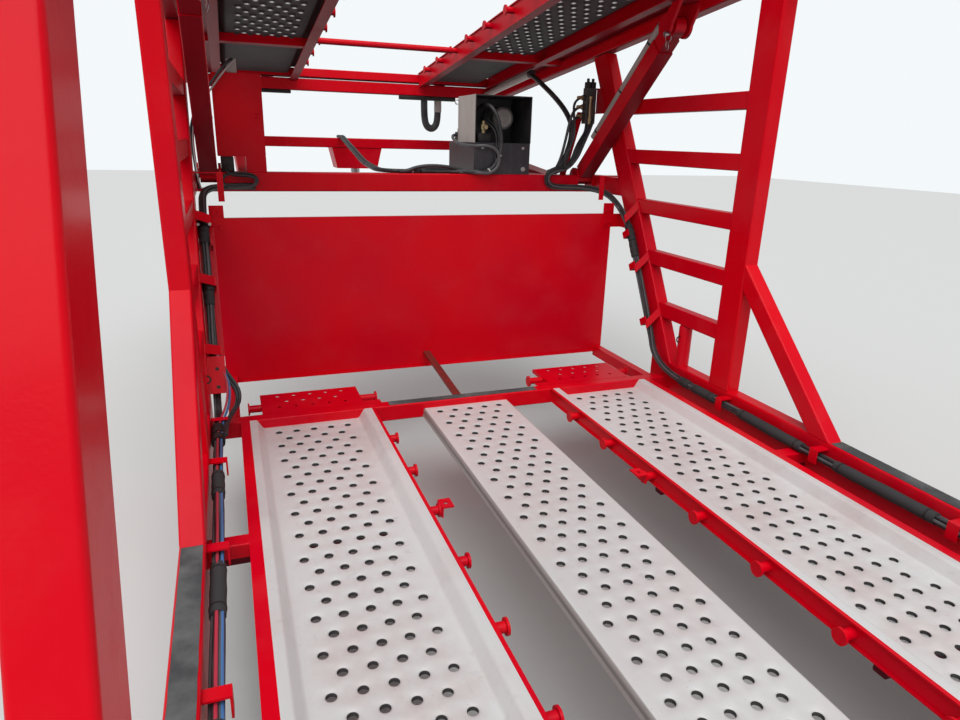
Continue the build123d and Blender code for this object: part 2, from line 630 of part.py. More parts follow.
def deck_hinge():
    """Fixed lugs of the upper deck's hinge, its pins and the pins of the lift arms."""
    face = PORTAL_Y + PORTAL_W
    inner = KNUCKLE_W / 2 + SIDE_PLAY
    lugs = []
    for side in (-1, 1):
        for edge in (-1, 1):
            x0 = side * HINGE_X + edge * inner
            x1 = x0 + edge * HINGE_LUG_T
            plate = side_prism([(face, HINGE_Z - 2 * HINGE_LUG_R), (face, PORTAL_TOP_Z - TUBE_R),
                                (HINGE_Y, HINGE_Z + HINGE_LUG_R), (HINGE_Y + HINGE_LUG_R, HINGE_Z),
                                (HINGE_Y + HINGE_LUG_R, HINGE_Z - HINGE_LUG_R)], min(x0, x1), max(x0, x1))
            plate &= block(min(x0, x1), max(x0, x1), face, HINGE_Y + HINGE_LUG_R, HINGE_Z - 2 * HINGE_LUG_R,
                           HINGE_Z)
            plate += lateral_rod(HINGE_LUG_R, min(x0, x1), max(x0, x1), HINGE_Y, HINGE_Z)
            lugs.append(plate - lateral_rod(HINGE_PIN_R, min(x0, x1), max(x0, x1), HINGE_Y, HINGE_Z))
    nodes["hinge_lugs"] = Compound(lugs)

    reach = inner + HINGE_LUG_T + SIDE_PLAY
    pins = pair(lateral_rod(HINGE_PIN_R, HINGE_X - reach, HINGE_X + reach, HINGE_Y, HINGE_Z))
    pins += pair(lateral_rod(ARM_PIN_R, CHEEK_IN_X, RAIL_IN_X, ARM_PIVOT_Y, ARM_PIVOT_Z))
    nodes["pivot_pins"] = Compound(pins)


def upper_deck():
    """The tilting deck: side beams, tracks, bearers, tie bar, knuckles and the lift arm brackets."""
    back = DECK_LENGTH
    low = -DECK_SIDE_DROP
    side = block(RAIL_IN_X, RAIL_OUT_X, -back, 0, low, low + DECK_SIDE_H)
    both_sides("deck_side_beam", on_deck(rounded(side, (0, 1, 0))))

    pan_front = -DECK_BEAM_W
    both_sides("deck_pan", on_deck(end_prism(pan_section(EDGE_H), -back, pan_front)))
    outline, channel = deck_edge_sections()
    inner = end_prism(channel, -back, pan_front)
    for i in DECK_SPOOLS:
        inner += spool(-TIE_BAR_BACK - SPOOL_PITCH * i, EDGE_H / 2)
    both_sides("deck_edges", on_deck(Compound([end_prism(outline, -back, pan_front), inner])))

    bearers = []
    floor = EDGE_H - PAN_DEPTH - SHEET
    for place in DECK_BEARERS:
        y0, y1 = -place - DECK_BEARER_W, -place
        bearers += pair(on_deck(block(TRACK_IN_X + EDGE_T, TRACK_OUT_X - EDGE_T, y0, y1,
                                      EDGE_T - DECK_EDGE_DROP, floor)))
        bearers += pair(on_deck(block(TRACK_OUT_X, RAIL_IN_X, y0, y1, -DECK_EDGE_DROP, 0)))
    nodes["deck_bearers"] = Compound(bearers)

    beam = on_deck(rounded(block(-RAIL_IN_X, RAIL_IN_X, -DECK_BEAM_W, 0, 0, DECK_BEAM_H), (1, 0, 0), SMALL_TUBE_R))
    for s in (-1, 1):
        x0, x1 = s * HINGE_X - KNUCKLE_W / 2, s * HINGE_X + KNUCKLE_W / 2
        knuckle = block(x0, x1, DECK_FRONT_Y - TUBE_R, HINGE_Y, DECK_LOW_Z + KNUCKLE_LIFT,
                        HINGE_Z + KNUCKLE_R)
        knuckle += lateral_rod(KNUCKLE_R, x0, x1, HINGE_Y, HINGE_Z)
        beam += knuckle - lateral_rod(HINGE_PIN_R + PIN_PLAY, x0, x1, HINGE_Y, HINGE_Z)
    nodes["deck_front_beam"] = beam

    tie_y, tie_z = deck_point(TIE_BAR_BACK, EDGE_H / 2)
    reach = TRACK_IN_X - SPOOL_REACH
    nodes["deck_tie_bar"] = lateral_rod(TIE_BAR_R, -reach, reach, tie_y, tie_z)


def lift_arms():
    """Telescopic box arms from the gooseneck to the upper deck."""
    x0, x1 = ARM_X - ARM_W / 2, ARM_X + ARM_W / 2
    half = ARM_H / 2
    sleeve = rounded(block(x0, x1, 0, SLEEVE_END, -half, half), (0, 1, 0), SMALL_TUBE_R)
    sleeve -= block(x0 + ARM_WALL, x1 - ARM_WALL, SLEEVE_START + ARM_BOSS_R, SLEEVE_END, -half + ARM_WALL,
                    half - ARM_WALL)
    sleeve -= block(x0, x1, 0, SLEEVE_START, -half, half)
    sleeve += lateral_rod(ARM_BOSS_R, x0, x1, 0, 0)
    sleeve -= lateral_rod(ARM_PIN_R + PIN_PLAY, x0, x1, 0, 0)
    both_sides("arm_sleeve", on_arm(sleeve))

    gap = ARM_WALL + ROD_PLAY
    rod = block(x0 + gap, x1 - gap, ROD_START, ARM_LENGTH - EYE_R, -half + gap, half - gap)
    eye_x0, eye_x1 = ARM_X - EYE_W / 2, ARM_X + EYE_W / 2
    rod += block(eye_x0, eye_x1, ARM_LENGTH - 2 * EYE_R, ARM_LENGTH, -half + gap, half - gap)
    rod += lateral_rod(EYE_R, eye_x0, eye_x1, ARM_LENGTH, 0)
    rod -= lateral_rod(EYE_BORE_R, eye_x0 - gap, eye_x1 + gap, ARM_LENGTH, 0)
    both_sides("arm_rod", on_arm(rod))

    z = -(half + PIPE_R + STRAP_T)
    pipe = Pos(PIPE_X, (PIPE_START + PIPE_END) / 2, z) * Rot(90, 0, 0) * Cylinder(
        PIPE_R, PIPE_END - PIPE_START)
    for place in STRAPS:
        strap = Pos(PIPE_X, place, z) * Rot(90, 0, 0) * Cylinder(PIPE_R + STRAP_T, STRAP_W)
        pipe += strap
        pipe += block(PIPE_X - PIPE_R, PIPE_X + PIPE_R, place - STRAP_W / 2, place + STRAP_W / 2, z, -half)
    both_sides("arm_pipe", on_arm(pipe))

    low_z = GOOSE_REAR_Z - GOOSE_REAR_H
    y0, y1 = GOOSE_REAR_Y, GOOSE_REAR_Y + GOOSE_W
    brackets = []
    for a, b in ((CHEEK_IN_X, CHEEK_IN_X + CHEEK_T), (RAIL_IN_X - CHEEK_T, RAIL_IN_X)):
        cheek = block(a, b, y0, y1, low_z, ARM_PIVOT_Z)
        cheek += lateral_rod(CHEEK_R, a, b, ARM_PIVOT_Y, ARM_PIVOT_Z)
        cheek -= lateral_rod(ARM_PIN_R, a, b, ARM_PIVOT_Y, ARM_PIVOT_Z)
        brackets.append(cheek)
    base = block(CHEEK_IN_X + CHEEK_T, RAIL_IN_X - CHEEK_T, y0, y1, low_z, low_z + CHEEK_T)
    bracket = brackets[0] + base + brackets[1]
    nodes["arm_brackets"] = Compound(pair(bracket))

    bearer_back = DECK_BEARERS[HANGER_BEARER]
    top_rear = deck_point(bearer_back + DECK_BEARER_W, -DECK_EDGE_DROP)
    top_front = deck_point(bearer_back - CHEEK_T, -DECK_EDGE_DROP)
    hangers = []
    for a, b in ((CHEEK_IN_X, CHEEK_IN_X + CHEEK_T), (RAIL_IN_X - CHEEK_T, RAIL_IN_X)):
        cheek = side_prism([top_rear, (ARM_EYE_Y - CHEEK_R, ARM_EYE_Z), (ARM_EYE_Y + CHEEK_R, ARM_EYE_Z),
                            top_front], a, b)
        cheek += lateral_rod(CHEEK_R, a, b, ARM_EYE_Y, ARM_EYE_Z)
        hangers.append(cheek)
    pin = lateral_rod(EYE_PIN_R, CHEEK_IN_X, RAIL_IN_X, ARM_EYE_Y, ARM_EYE_Z)
    nodes["deck_hangers"] = Compound(pair(hangers[0] + pin + hangers[1]))


def equipment():
    """Valve cabinet and power unit on the gooseneck."""
    y0 = GOOSE_REAR_Y + TUBE_R
    outline = [(CABINET_OUT_X, CABINET_LOW_Z), (CABINET_OUT_X, CABINET_EDGE_Z), (CABINET_CUT_X, CABINET_HIGH_Z),
               (CABINET_IN_X, CABINET_HIGH_Z), (CABINET_IN_X, CABINET_LOW_Z)]
    cabinet = rounded(end_prism(outline, y0, y0 + CABINET_COVER_D), (0, 1, 0), SMALL_TUBE_R)
    cabinet += rounded(block(CABINET_OUT_X, CABINET_IN_X, y0 + CABINET_COVER_D, y0 + CABINET_D, CABINET_LOW_Z,
                             CABINET_HIGH_Z), (0, 1, 0), SMALL_TUBE_R)
    for x0, x1 in CABINET_FEET:
        cabinet += block(x0, x1, y0, y0 + GOOSE_W - 2 * TUBE_R, GOOSE_REAR_Z, CABINET_LOW_Z)
    nodes["valve_cabinet"] = cabinet

    shelf_y = GOOSE_REAR_Y + GOOSE_W
    nodes["equipment_shelf"] = block(UNIT_LEFT_X, GOOSE_SIDE_X - GOOSE_W / 2, shelf_y, UNIT_Y + TANK_D,
                                     GOOSE_REAR_Z - TUBE_R - SHELF_T, GOOSE_REAR_Z)

    tank_top = GOOSE_REAR_Z + TANK_H
    tank = block(UNIT_LEFT_X, UNIT_RIGHT_X, UNIT_Y, UNIT_Y + TANK_D, GOOSE_REAR_Z, tank_top)
    nodes["power_unit_tank"] = fillet(tank.edges().filter_by(Axis.Z), TANK_CORNER_R)
    shell = block(UNIT_LEFT_X, UNIT_RIGHT_X, UNIT_Y, UNIT_Y + UNIT_D, tank_top, tank_top + UNIT_H)
    shell -= block(UNIT_LEFT_X + UNIT_WALL, UNIT_RIGHT_X - UNIT_WALL, UNIT_Y, UNIT_Y + UNIT_D - UNIT_WALL,
                   tank_top, tank_top + UNIT_H - UNIT_WALL)
    nodes["power_unit_housing"] = shell
    motor_y = UNIT_Y + UNIT_D - UNIT_WALL - MOTOR_L
    motor = Pos(MOTOR_X, motor_y + MOTOR_L / 2, MOTOR_Z) * Rot(90, 0, 0) * Cylinder(MOTOR_R, MOTOR_L)
    nodes["power_unit_motor"] = chamfer(motor.faces().sort_by(Axis.Y)[0].edges(), MOTOR_CHAMFER)


def tube_route(points):
    """Straight runs joined by arcs as large as their runs allow; returns the path and its radii."""
    radii = []
    for before, here, after in zip(points, points[1:], points[2:]):
        a = Vector(*here) - Vector(*before)
        b = Vector(*after) - Vector(*here)
        turn = math.radians(a.get_angle(b))
        radii.append(0.45 * min(a.length, b.length) / math.tan(turn / 2))
    return FilletPolyline(*points, radius=radii), radii


def hose(points, radius):
    """A round tube along a route."""
    path, radii = tube_route(points)
    start = Vector(*points[1]) - Vector(*points[0])
    tube = sweep(Plane(origin=points[0], z_dir=start) * Circle(radius), path=path)
    print("hose radii", [round(r) for r in radii], "volume ratio",
          round(tube.volume / (math.pi * radius * radius * path.length), 4))
    return tube


def hoses():
    """Hose bundles clipped down the front posts and along the side rails."""
    run = math.tan(math.radians(FRONT_POST_LEAN))
    low_z = DECK_Z + HOSE_R + HOSE_PLAY
    points = [(HOSE_X - HOSE_WOBBLE, REAR_END_Y, low_z)]
    y = REAR_END_Y
    wobble = HOSE_WOBBLE
    while y + 2 * HOSE_STEP < RAIL_FRONT_Y:
        y += HOSE_STEP
        wobble = -wobble
        points.append((HOSE_X + wobble / 2, y, low_z + HOSE_WOBBLE + wobble))
    for z, forward in HOSE_CLIMB:
        points.append((HOSE_X, FRONT_POST_Y + (z - RAIL_TOP_Z) * run + forward, z))
    beam_y = GOOSE_REAR_Y - HOSE_R - HOSE_PLAY
    points.append((HOSE_X, *HOSE_CORNER))
    points += [(x, beam_y, z) for x, z in HOSE_ALONG_BEAM]
    nodes["hose_bundle_left"] = mirror(hose(points, HOSE_R), Plane.YZ)
    points += [(x, beam_y, z) for x, z in HOSE_FOLD]
    points += [*HOSE_TOP, (MANIFOLD_X, MANIFOLD_Y, MANIFOLD_LOW_Z - HOSE_PLAY)]
    nodes["hose_bundle_right"] = hose(points, HOSE_R)

    clips = []
    for z in CLIP_ZS:
        y = FRONT_POST_Y + (z - RAIL_TOP_Z) * run
        clips += pair(Pos(0, y, z) * Rot(-FRONT_POST_LEAN, 0, 0) * clip())
    y = CLIP_FIRST_Y
    while y > REAR_END_Y + CLIP_W:
        clips += pair(Pos(0, y, low_z) * Rot(90, 0, 0) * clip())
        y -= CLIP_PITCH
    guide = block(GUIDE_IN_X, RAIL_IN_X, GUIDE_Y, GUIDE_Y + GUIDE_W, GUIDE_HIGH_Z - CLIP_T, GUIDE_HIGH_Z)
    guide += block(GUIDE_IN_X, GUIDE_IN_X + GUIDE_W, GUIDE_Y, GUIDE_Y + CLIP_T, GUIDE_LOW_Z, GUIDE_HIGH_Z - CLIP_T)
    nodes["hose_clips"] = Compound(clips + pair(guide))


def valve_manifold():
    """Ported valve block on a plate at the front edge of the right front post."""
    x0, x1 = MANIFOLD_X - MANIFOLD_W / 2, MANIFOLD_X + MANIFOLD_W / 2
    y0, y1 = MANIFOLD_Y - MANIFOLD_D / 2, MANIFOLD_Y + MANIFOLD_D / 2
    high_z = MANIFOLD_LOW_Z + MANIFOLD_H
    body = chamfer(block(x0, x1, y0, y1, MANIFOLD_LOW_Z, high_z).edges().filter_by(Axis.Z), CLIP_T)
    for z in PORT_ZS:
        body += lateral_rod(PORT_R, x0 - PORT_L, x0, MANIFOLD_Y, z)
    run = math.tan(math.radians(FRONT_POST_LEAN))
    plate_z = (high_z - MANIFOLD_PLATE_H, high_z)
    rear = [FRONT_POST_Y + (z - RAIL_TOP_Z) * run + BRACKET_INSET for z in plate_z]
    plate = side_prism([(rear[0], plate_z[0]), (y1, plate_z[0]), (y1, plate_z[1]), (rear[1], plate_z[1])],
                       RAIL_IN_X - EDGE_T, RAIL_IN_X)
    plate += block(x1, RAIL_IN_X - EDGE_T, y0, y1, plate_z[0], plate_z[0] + EDGE_T)
    plate += block(x1, RAIL_IN_X - EDGE_T, y0, y1, plate_z[1] - EDGE_T, plate_z[1])
    nodes["manifold_bracket"] = plate
    nodes["valve_manifold"] = body


def clip():
    """An L-shaped clip that reaches inward from the frame's face over a hose bundle."""
    x1 = RAIL_IN_X
    x0 = HOSE_X - HOSE_R - CLIP_GAP
    top = HOSE_R + CLIP_GAP
    leaf = block(x0, x1, top, top + CLIP_T, -CLIP_W / 2, CLIP_W / 2)
    leaf += block(x0, x0 + CLIP_T, -HOSE_R, top, -CLIP_W / 2, CLIP_W / 2)
    return leaf


def main():
    """Build every node and write it to its own file."""
    side_frames()
    cross_members()
    lower_tracks()
    step_plates()
    bulkhead()
    gooseneck()
    deck_hinge()
    upper_deck()
    lift_arms()
    equipment()
    hoses()
    valve_manifold()
    os.makedirs("parts", exist_ok=True)
    for name, part in nodes.items():
        export_step(part if isinstance(part, Compound) else Part(part.wrapped), f"parts/{name}.step")


main()
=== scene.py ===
"""Looks of the front deck bay of a car transporter trailer.

Everything is in metres in the frame of the solid model: +X is the trailer's right, +Y is forward and +Z up. The
origin lies on the kingpin's axis, at the underside of the coupler box.
"""

import json
import logging
import math
from dataclasses import dataclass, replace
from enum import Enum
from typing import ClassVar, Iterable, Union

import bmesh
import bpy
import numpy as np
from mathutils import Matrix, Vector


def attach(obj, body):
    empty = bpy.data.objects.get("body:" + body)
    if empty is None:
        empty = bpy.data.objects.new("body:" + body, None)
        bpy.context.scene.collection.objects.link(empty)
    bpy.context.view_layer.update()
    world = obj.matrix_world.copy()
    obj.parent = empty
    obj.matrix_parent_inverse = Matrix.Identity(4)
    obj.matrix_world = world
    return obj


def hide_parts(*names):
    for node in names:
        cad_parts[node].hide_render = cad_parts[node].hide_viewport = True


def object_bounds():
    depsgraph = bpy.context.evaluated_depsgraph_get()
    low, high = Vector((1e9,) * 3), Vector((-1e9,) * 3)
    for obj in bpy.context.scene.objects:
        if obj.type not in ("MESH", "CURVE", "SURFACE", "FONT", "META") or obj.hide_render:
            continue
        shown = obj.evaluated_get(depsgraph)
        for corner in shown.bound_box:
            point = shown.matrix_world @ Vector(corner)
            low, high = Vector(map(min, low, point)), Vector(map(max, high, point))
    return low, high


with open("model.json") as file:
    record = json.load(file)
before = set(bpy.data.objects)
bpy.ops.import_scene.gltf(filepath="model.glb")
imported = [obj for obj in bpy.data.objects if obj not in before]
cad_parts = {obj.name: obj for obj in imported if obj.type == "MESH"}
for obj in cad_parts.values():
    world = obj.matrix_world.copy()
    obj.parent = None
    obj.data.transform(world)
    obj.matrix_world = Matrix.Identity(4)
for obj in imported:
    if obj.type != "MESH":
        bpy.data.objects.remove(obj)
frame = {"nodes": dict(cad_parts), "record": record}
CAD_BOX = [[float(v) for v in corner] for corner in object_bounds()]

log = logging.getLogger("bay")

Colour = tuple[float, float, float]
Point = tuple[float, float, float]
Profile = tuple[tuple[float, float], ...]
Number = Union["Signal", float]

WELD_DISTANCE = 1e-6
SHARP_ANGLE = math.radians(32)
MM_PER_M = 1000.0
QUARTER_STEPS = 3
RING_STEPS = 28
WIRE_STEPS = 8
SPLINE_ORDER = 3
SPLINE_STEPS = 14
FRAME_HELPER = (0.31, -0.45, 0.84)
UP: Point = (0.0, 0.0, 1.0)
FRONT: Point = (0.0, 1.0, 0.0)
BACK: Point = (0.0, -1.0, 0.0)
RIGHT: Point = (1.0, 0.0, 0.0)
LEFT: Point = (-1.0, 0.0, 0.0)
# The run along the left rail that both air lines share, in millimetres.
AIR_LINE_RUN: tuple[Point, ...] = (
    (-1176, -5925, -971), (-1177, -5430, -970), (-1180, -5030, -967), (-1181, -4730, -965), (-1179, -4330, -968),
    (-1179, -4030, -968), (-1181, -3630, -964), (-1181, -3330, -963))


class Body(Enum):
    """The bodies that pieces ride on."""

    BAY = "bay_frame"
    DECK = "upper_deck"
    ARM_LEFT = "arm_left"
    ARM_RIGHT = "arm_right"


class Side(Enum):
    """The two sides of the trailer; the value is the sign of X."""

    LEFT = -1
    RIGHT = 1

    @property
    def word(self) -> str:
        """The side's word in names of nodes and pieces."""
        return self.name.lower()


class Slot(Enum):
    """Material slots of the record."""

    RED = "red_paint"
    ALUMINIUM = "track_aluminium"
    HOSE = "black_hose"
    STEEL = "bare_steel"
    PIPE = "grey_pipe"
    DARK_GREY = "dark_grey_paint"
    LIGHT_GREY = "light_grey_panel"
    MOTOR = "motor_black"


class Signal:
    """A value carried by a socket. Arithmetic on it adds the Math nodes that work it out."""

    def __init__(self, graph: "Graph", socket: bpy.types.NodeSocket) -> None:
        """Wrap one output socket of a graph."""
        self.graph = graph
        self.socket = socket

    def math(self, operation: str, *others: Number) -> "Signal":
        """Apply a Math node to this value.

        Args:
            operation: The Math node's operation.
            others: The node's further inputs.

        Returns:
            The node's result.
        """
        return self.graph.node("ShaderNodeMath", {"operation": operation}, dict(enumerate((self, *others))))

    def __add__(self, other: Number) -> "Signal":
        """Sum."""
        return self.math("ADD", other)

    __radd__ = __add__

    def __sub__(self, other: Number) -> "Signal":
        """Difference."""
        return self.math("SUBTRACT", other)

    def __rsub__(self, other: Number) -> "Signal":
        """Difference with the number on the left."""
        return self.graph.node("ShaderNodeMath", {"operation": "SUBTRACT"}, {0: other, 1: self})

    def __mul__(self, other: Number) -> "Signal":
        """Product."""
        return self.math("MULTIPLY", other)

    __rmul__ = __mul__

    def __abs__(self) -> "Signal":
        """Absolute value."""
        return self.math("ABSOLUTE")

    def at_least(self, other: Number) -> "Signal":
        """The larger of two values."""
        return self.math("MAXIMUM", other)

    def step(self, low: float, high: float) -> "Signal":
        """Rise smoothly from 0 to 1.

        Args:
            low: Where the rise starts; it may lie above `high`, for a fall.
            high: Where the rise ends.

        Returns:
            A mask from 0 to 1.
        """
        start, end = min(low, high), max(low, high)
        mask = self.graph.node("ShaderNodeMapRange", {"interpolation_type": "SMOOTHSTEP"},
                               {0: self, 1: start, 2: end, 3: 0.0, 4: 1.0})
        return mask if low < high else 1.0 - mask


class Graph:
    """The node tree of one material, with the nodes that every finish needs."""

    def __init__(self, name: str) -> None:
        """Start a material that holds a Principled shader alone.

        Args:
            name: The material's name.
        """
        self.material = bpy.data.materials.new(name)
        self.material.use_nodes = True
        self.tree = self.material.node_tree
        self.shader = self.tree.nodes["Principled BSDF"]
        self.places = self.node("ShaderNodeTexCoord", output="Object")

    def node(self, kind: str, settings: dict | None = None, inputs: dict | None = None,
             output: int | str = 0) -> Signal:
        """Add one node.

        Args:
            kind: The node's type.
            settings: Its properties, set first.
            inputs: Values or signals for its sockets, by index or name.
            output: The socket that the result is read from.

        Returns:
            The chosen output.
        """
        made = self.tree.nodes.new(kind)
        for key, value in (settings or {}).items():
            setattr(made, key, value)
        for key, value in (inputs or {}).items():
            self.feed(made.inputs[key], value)
        return Signal(self, made.outputs[output])

    def feed(self, socket: bpy.types.NodeSocket, value: Number | Colour) -> None:
        """Link a signal to a socket, or set the socket's own value.

        Args:
            socket: The input socket.
            value: A signal, a colour or a number.
        """
        if isinstance(value, Signal):
            self.tree.links.new(value.socket, socket)
        elif isinstance(value, tuple) and socket.type == "RGBA":
            socket.default_value = (*value, 1.0)
        else:
            socket.default_value = value

    def set(self, name: str, value: Number | Colour) -> None:
        """Feed one socket of the shader."""
        self.feed(self.shader.inputs[name], value)

    def coordinate(self, axis: str) -> Signal:
        """One object coordinate, in metres.

        Args:
            axis: X, Y or Z.

        Returns:
            The coordinate.
        """
        return self.node("ShaderNodeSeparateXYZ", inputs={0: self.places}, output=axis)

    def stretched(self, scale: Point) -> Signal:
        """Object coordinates multiplied along each axis."""
        return self.node("ShaderNodeMapping", inputs={"Vector": self.places, "Scale": scale})

    def noise(self, scale: float, detail: float = 3.0, roughness: float = 0.55,
              stretch: Point = (1.0, 1.0, 1.0)) -> Signal:
        """Cloudy noise around 0.5.

        Args:
            scale: Cells per metre.
            detail: Octaves.
            roughness: Weight of the fine octaves.
            stretch: Factor on each axis.

        Returns:
            The noise value.
        """
        return self.node("ShaderNodeTexNoise", {}, {"Vector": self.stretched(stretch), "Scale": scale,
                                                   "Detail": detail, "Roughness": roughness})

    def facing(self, axis: str) -> Signal:
        """How far the surface faces along one world axis, from -1 to 1."""
        normal = self.node("ShaderNodeNewGeometry", output="Normal")
        return self.node("ShaderNodeSeparateXYZ", inputs={0: normal}, output=axis)

    def cells(self, scale: float, stretch: Point = (1.0, 1.0, 1.0)) -> Signal:
        """Distance to the nearest of scattered points, for grains and chips."""
        return self.node("ShaderNodeTexVoronoi", {}, {"Vector": self.stretched(stretch), "Scale": scale},
                         "Distance")

    def mix(self, first: Signal | Colour, second: Signal | Colour, factor: Number) -> Signal:
        """Blend two colours; factor 0 is the first."""
        return self.node("ShaderNodeMix", {"data_type": "RGBA"}, {0: factor, 6: first, 7: second}, 2)

    def bump(self, height: Signal, distance: float, strength: float = 1.0) -> None:
        """Let a height in 0 to 1 lift the surface by up to a distance in metres."""
        lifted = self.node("ShaderNodeBump", {}, {"Strength": strength, "Distance": distance, "Height": height})
        self.set("Normal", lifted)


@dataclass(frozen=True)
class Finish:
    """A surface finish: its name, its colour and the constants of its shader."""

    name: str
    colour: Colour
    roughness: float = 0.5
    metallic: float = 0.0
    coat: float = 0.0
    made: ClassVar[dict[str, bpy.types.Material]] = {}

    def material(self) -> bpy.types.Material:
        """The finish's material, made on its first use.

        Returns:
            The material.
        """
        if self.name not in Finish.made:
            graph = Graph(self.name)
            graph.set("Base Color", self.colour)
            graph.set("Roughness", self.roughness)
            graph.set("Metallic", self.metallic)
            graph.set("Coat Weight", self.coat)
            self.dress(graph)
            Finish.made[self.name] = graph.material
        return Finish.made[self.name]

    def dress(self, graph: Graph) -> None:
        """Lay the finish's pattern over its constants."""
        raise NotImplementedError


@dataclass(frozen=True)
class GlossPaint(Finish):
    """Sprayed gloss paint with a faint skin, drifts of dust, small stone chips and painted shade underneath."""

    dust: Colour = (0.50, 0.24, 0.24)
    dust_amount: float = 0.035
    faded: Colour = (0.55, 0.0, 0.012)
    chip: Colour = (0.16, 0.02, 0.02)
    # The colour, strength and level of the painted shade underneath follow.
    underside_shade: Colour = (0.060, 0.003, 0.008)
    underside_shade_amount: float = 0.8
    shaded_below: float = -9.0
    worn: Colour = (0.085, 0.030, 0.024)
    worn_within: float = -0.01

    def dress(self, graph: Graph) -> None:
        """Fade slowly, dust in clouds, chip in sparse dots, darken downward faces and all below a level with painted
        shade, and ripple like sprayed paint.

        Args:
            graph: The material's nodes.
        """
        fade = graph.noise(1.3, 2.0).step(0.35, 0.7)
        cloud = graph.noise(5.0, 6.0, 0.65).step(0.45, 0.8)
        chips = graph.cells(46.0).step(0.07, 0.03) * graph.noise(2.1, 2.0).step(0.58, 0.66)
        colour = graph.mix(self.colour, self.faded, fade)
        colour = graph.mix(colour, self.dust, cloud * self.dust_amount)
        colour = graph.mix(colour, self.chip, chips * 0.8)
        centre = abs(graph.coordinate("X")).step(self.worn_within + 0.002, self.worn_within)
        colour = graph.mix(colour, self.worn, centre * (graph.noise(26.0, 5.0) * 0.5 + 0.6).math("MINIMUM", 1.0))
        # Painted shade: faces that point down, and everything below a given level, turn dark maroon.
        low = graph.coordinate("Z").step(self.shaded_below + 0.001, self.shaded_below - 0.001)
        under = graph.facing("Z").step(-0.3, -0.8).at_least(low) * self.underside_shade_amount
        graph.set("Base Color", graph.mix(colour, self.underside_shade, under))
        graph.set("Roughness", cloud * 0.14 + under * 0.2 + self.roughness)
        graph.set("Coat Roughness", 0.12)
        graph.set("Specular IOR Level", 0.11)
        graph.bump(graph.noise(160.0, 2.0) + graph.noise(9.0, 2.0) * 0.8, 0.0006, 0.35)


@dataclass(frozen=True)
class WornSheet(Finish):
    """Rolled aluminium sheet: fine rolling lines, scuffs from tyres and a reddish wash of dust, with painted shade in
    its dimples, on its undersides and down its holes.
    """

    wash: Colour = (0.50, 0.37, 0.35)
    # The scuff colour also carries the painted shade in the dimples.
    scuff_and_shade: Colour = (0.20, 0.17, 0.16)
    wash_amount: float = 0.6
    # Colour and strength of the painted shade on undersides and hole walls, then the level and reach of the painted
    # shade down the holes.
    under: Colour = (0.020, 0.018, 0.020)
    under_amount: float = 0.5
    dark_below: float = -9.0
    dark_within: float = 9.0

    def dress(self, graph: Graph) -> None:
        """Wash in wide clouds, scuffs in long streaks, painted shade in the dimples, on undersides, on hole walls and
        below a level, and grain along the track.

        Args:
            graph: The material's nodes.
        """
        cloud = graph.noise(2.6, 7.0, 0.62).step(0.42, 0.72)
        blotch = graph.noise(14.0, 5.0, 0.7).step(0.60, 0.80)
        streak = graph.noise(7.0, 6.0, 0.7, (5.0, 0.6, 5.0)).step(0.60, 0.78)
        speck = graph.cells(60.0).step(0.10, 0.04) * graph.noise(3.0, 2.0).step(0.5, 0.62)
        grain = graph.noise(120.0, 3.0, 0.6, (6.0, 0.25, 6.0))
        colour = graph.mix(self.colour, self.wash, cloud * self.wash_amount)
        # Painted shade, with some soiling, in the pressed dimples: darker where the sheet slopes into a hole.
        pressed = graph.coordinate("Z").step(self.dark_below + 0.0037, self.dark_below + 0.0032)
        dimple_dirt_and_shade = graph.facing("Z").step(0.985, 0.86) * pressed * 0.75
        dirt_and_shade = blotch * 0.34 + streak * 0.20 + speck * 0.7 + dimple_dirt_and_shade
        colour = graph.mix(colour, self.scuff_and_shade, dirt_and_shade.math("MINIMUM", 0.9))
        # Painted shade down the holes: near-black below a level, within a distance of the middle; joined with the
        # painted shade on undersides and hole walls.
        deep = graph.coordinate("Z").step(self.dark_below + 0.0012, self.dark_below)
        deep = deep * abs(graph.coordinate("X")).step(self.dark_within + 0.001, self.dark_within) * 0.95
        under = (graph.facing("Z").step(0.3, -0.2) * self.under_amount).at_least(deep)
        graph.set("Base Color", graph.mix(colour, self.under, under))
        graph.set("Metallic", (1.0 - under) * self.metallic)
        graph.set("Roughness", grain * 0.14 + cloud * 0.12 + under * 0.3 + self.roughness - 0.07)
        graph.bump(grain * 0.5 + graph.noise(30.0, 4.0) * 0.7, 0.0009, 0.3)


@dataclass(frozen=True)
class GritTape(Finish):
    """Coarse mineral grip tape, dusty in places."""

    dust: Colour = (0.16, 0.16, 0.155)

    def dress(self, graph: Graph) -> None:
        """Sharp grains over a dark ground, with dust rubbed into wide patches.

        Args:
            graph: The material's nodes.
        """
        grain = graph.cells(520.0)
        patch = graph.noise(6.0, 5.0, 0.6).step(0.4, 0.75)
        speck = grain.step(0.20, 0.05)
        graph.set("Base Color", graph.mix(graph.mix(self.colour, self.dust, patch * 0.7), self.dust, speck * 0.6))
        graph.bump(1.0 - grain, 0.0012, 0.8)


@dataclass(frozen=True)
class Rubber(Finish):
    """Hose cover: faint wrapping marks and grey dust."""

    dust: Colour = (0.10, 0.10, 0.105)
    dust_amount: float = 0.5

    def dress(self, graph: Graph) -> None:
        """Dust in clouds over a fine cloth imprint.

        Args:
            graph: The material's nodes.
        """
        cloud = graph.noise(11.0, 5.0, 0.6).step(0.4, 0.75)
        imprint = graph.noise(420.0, 2.0)
        graph.set("Base Color", graph.mix(self.colour, self.dust, cloud * self.dust_amount))
        graph.set("Roughness", cloud * 0.2 + self.roughness)
        graph.bump(imprint, 0.0004, 0.4)


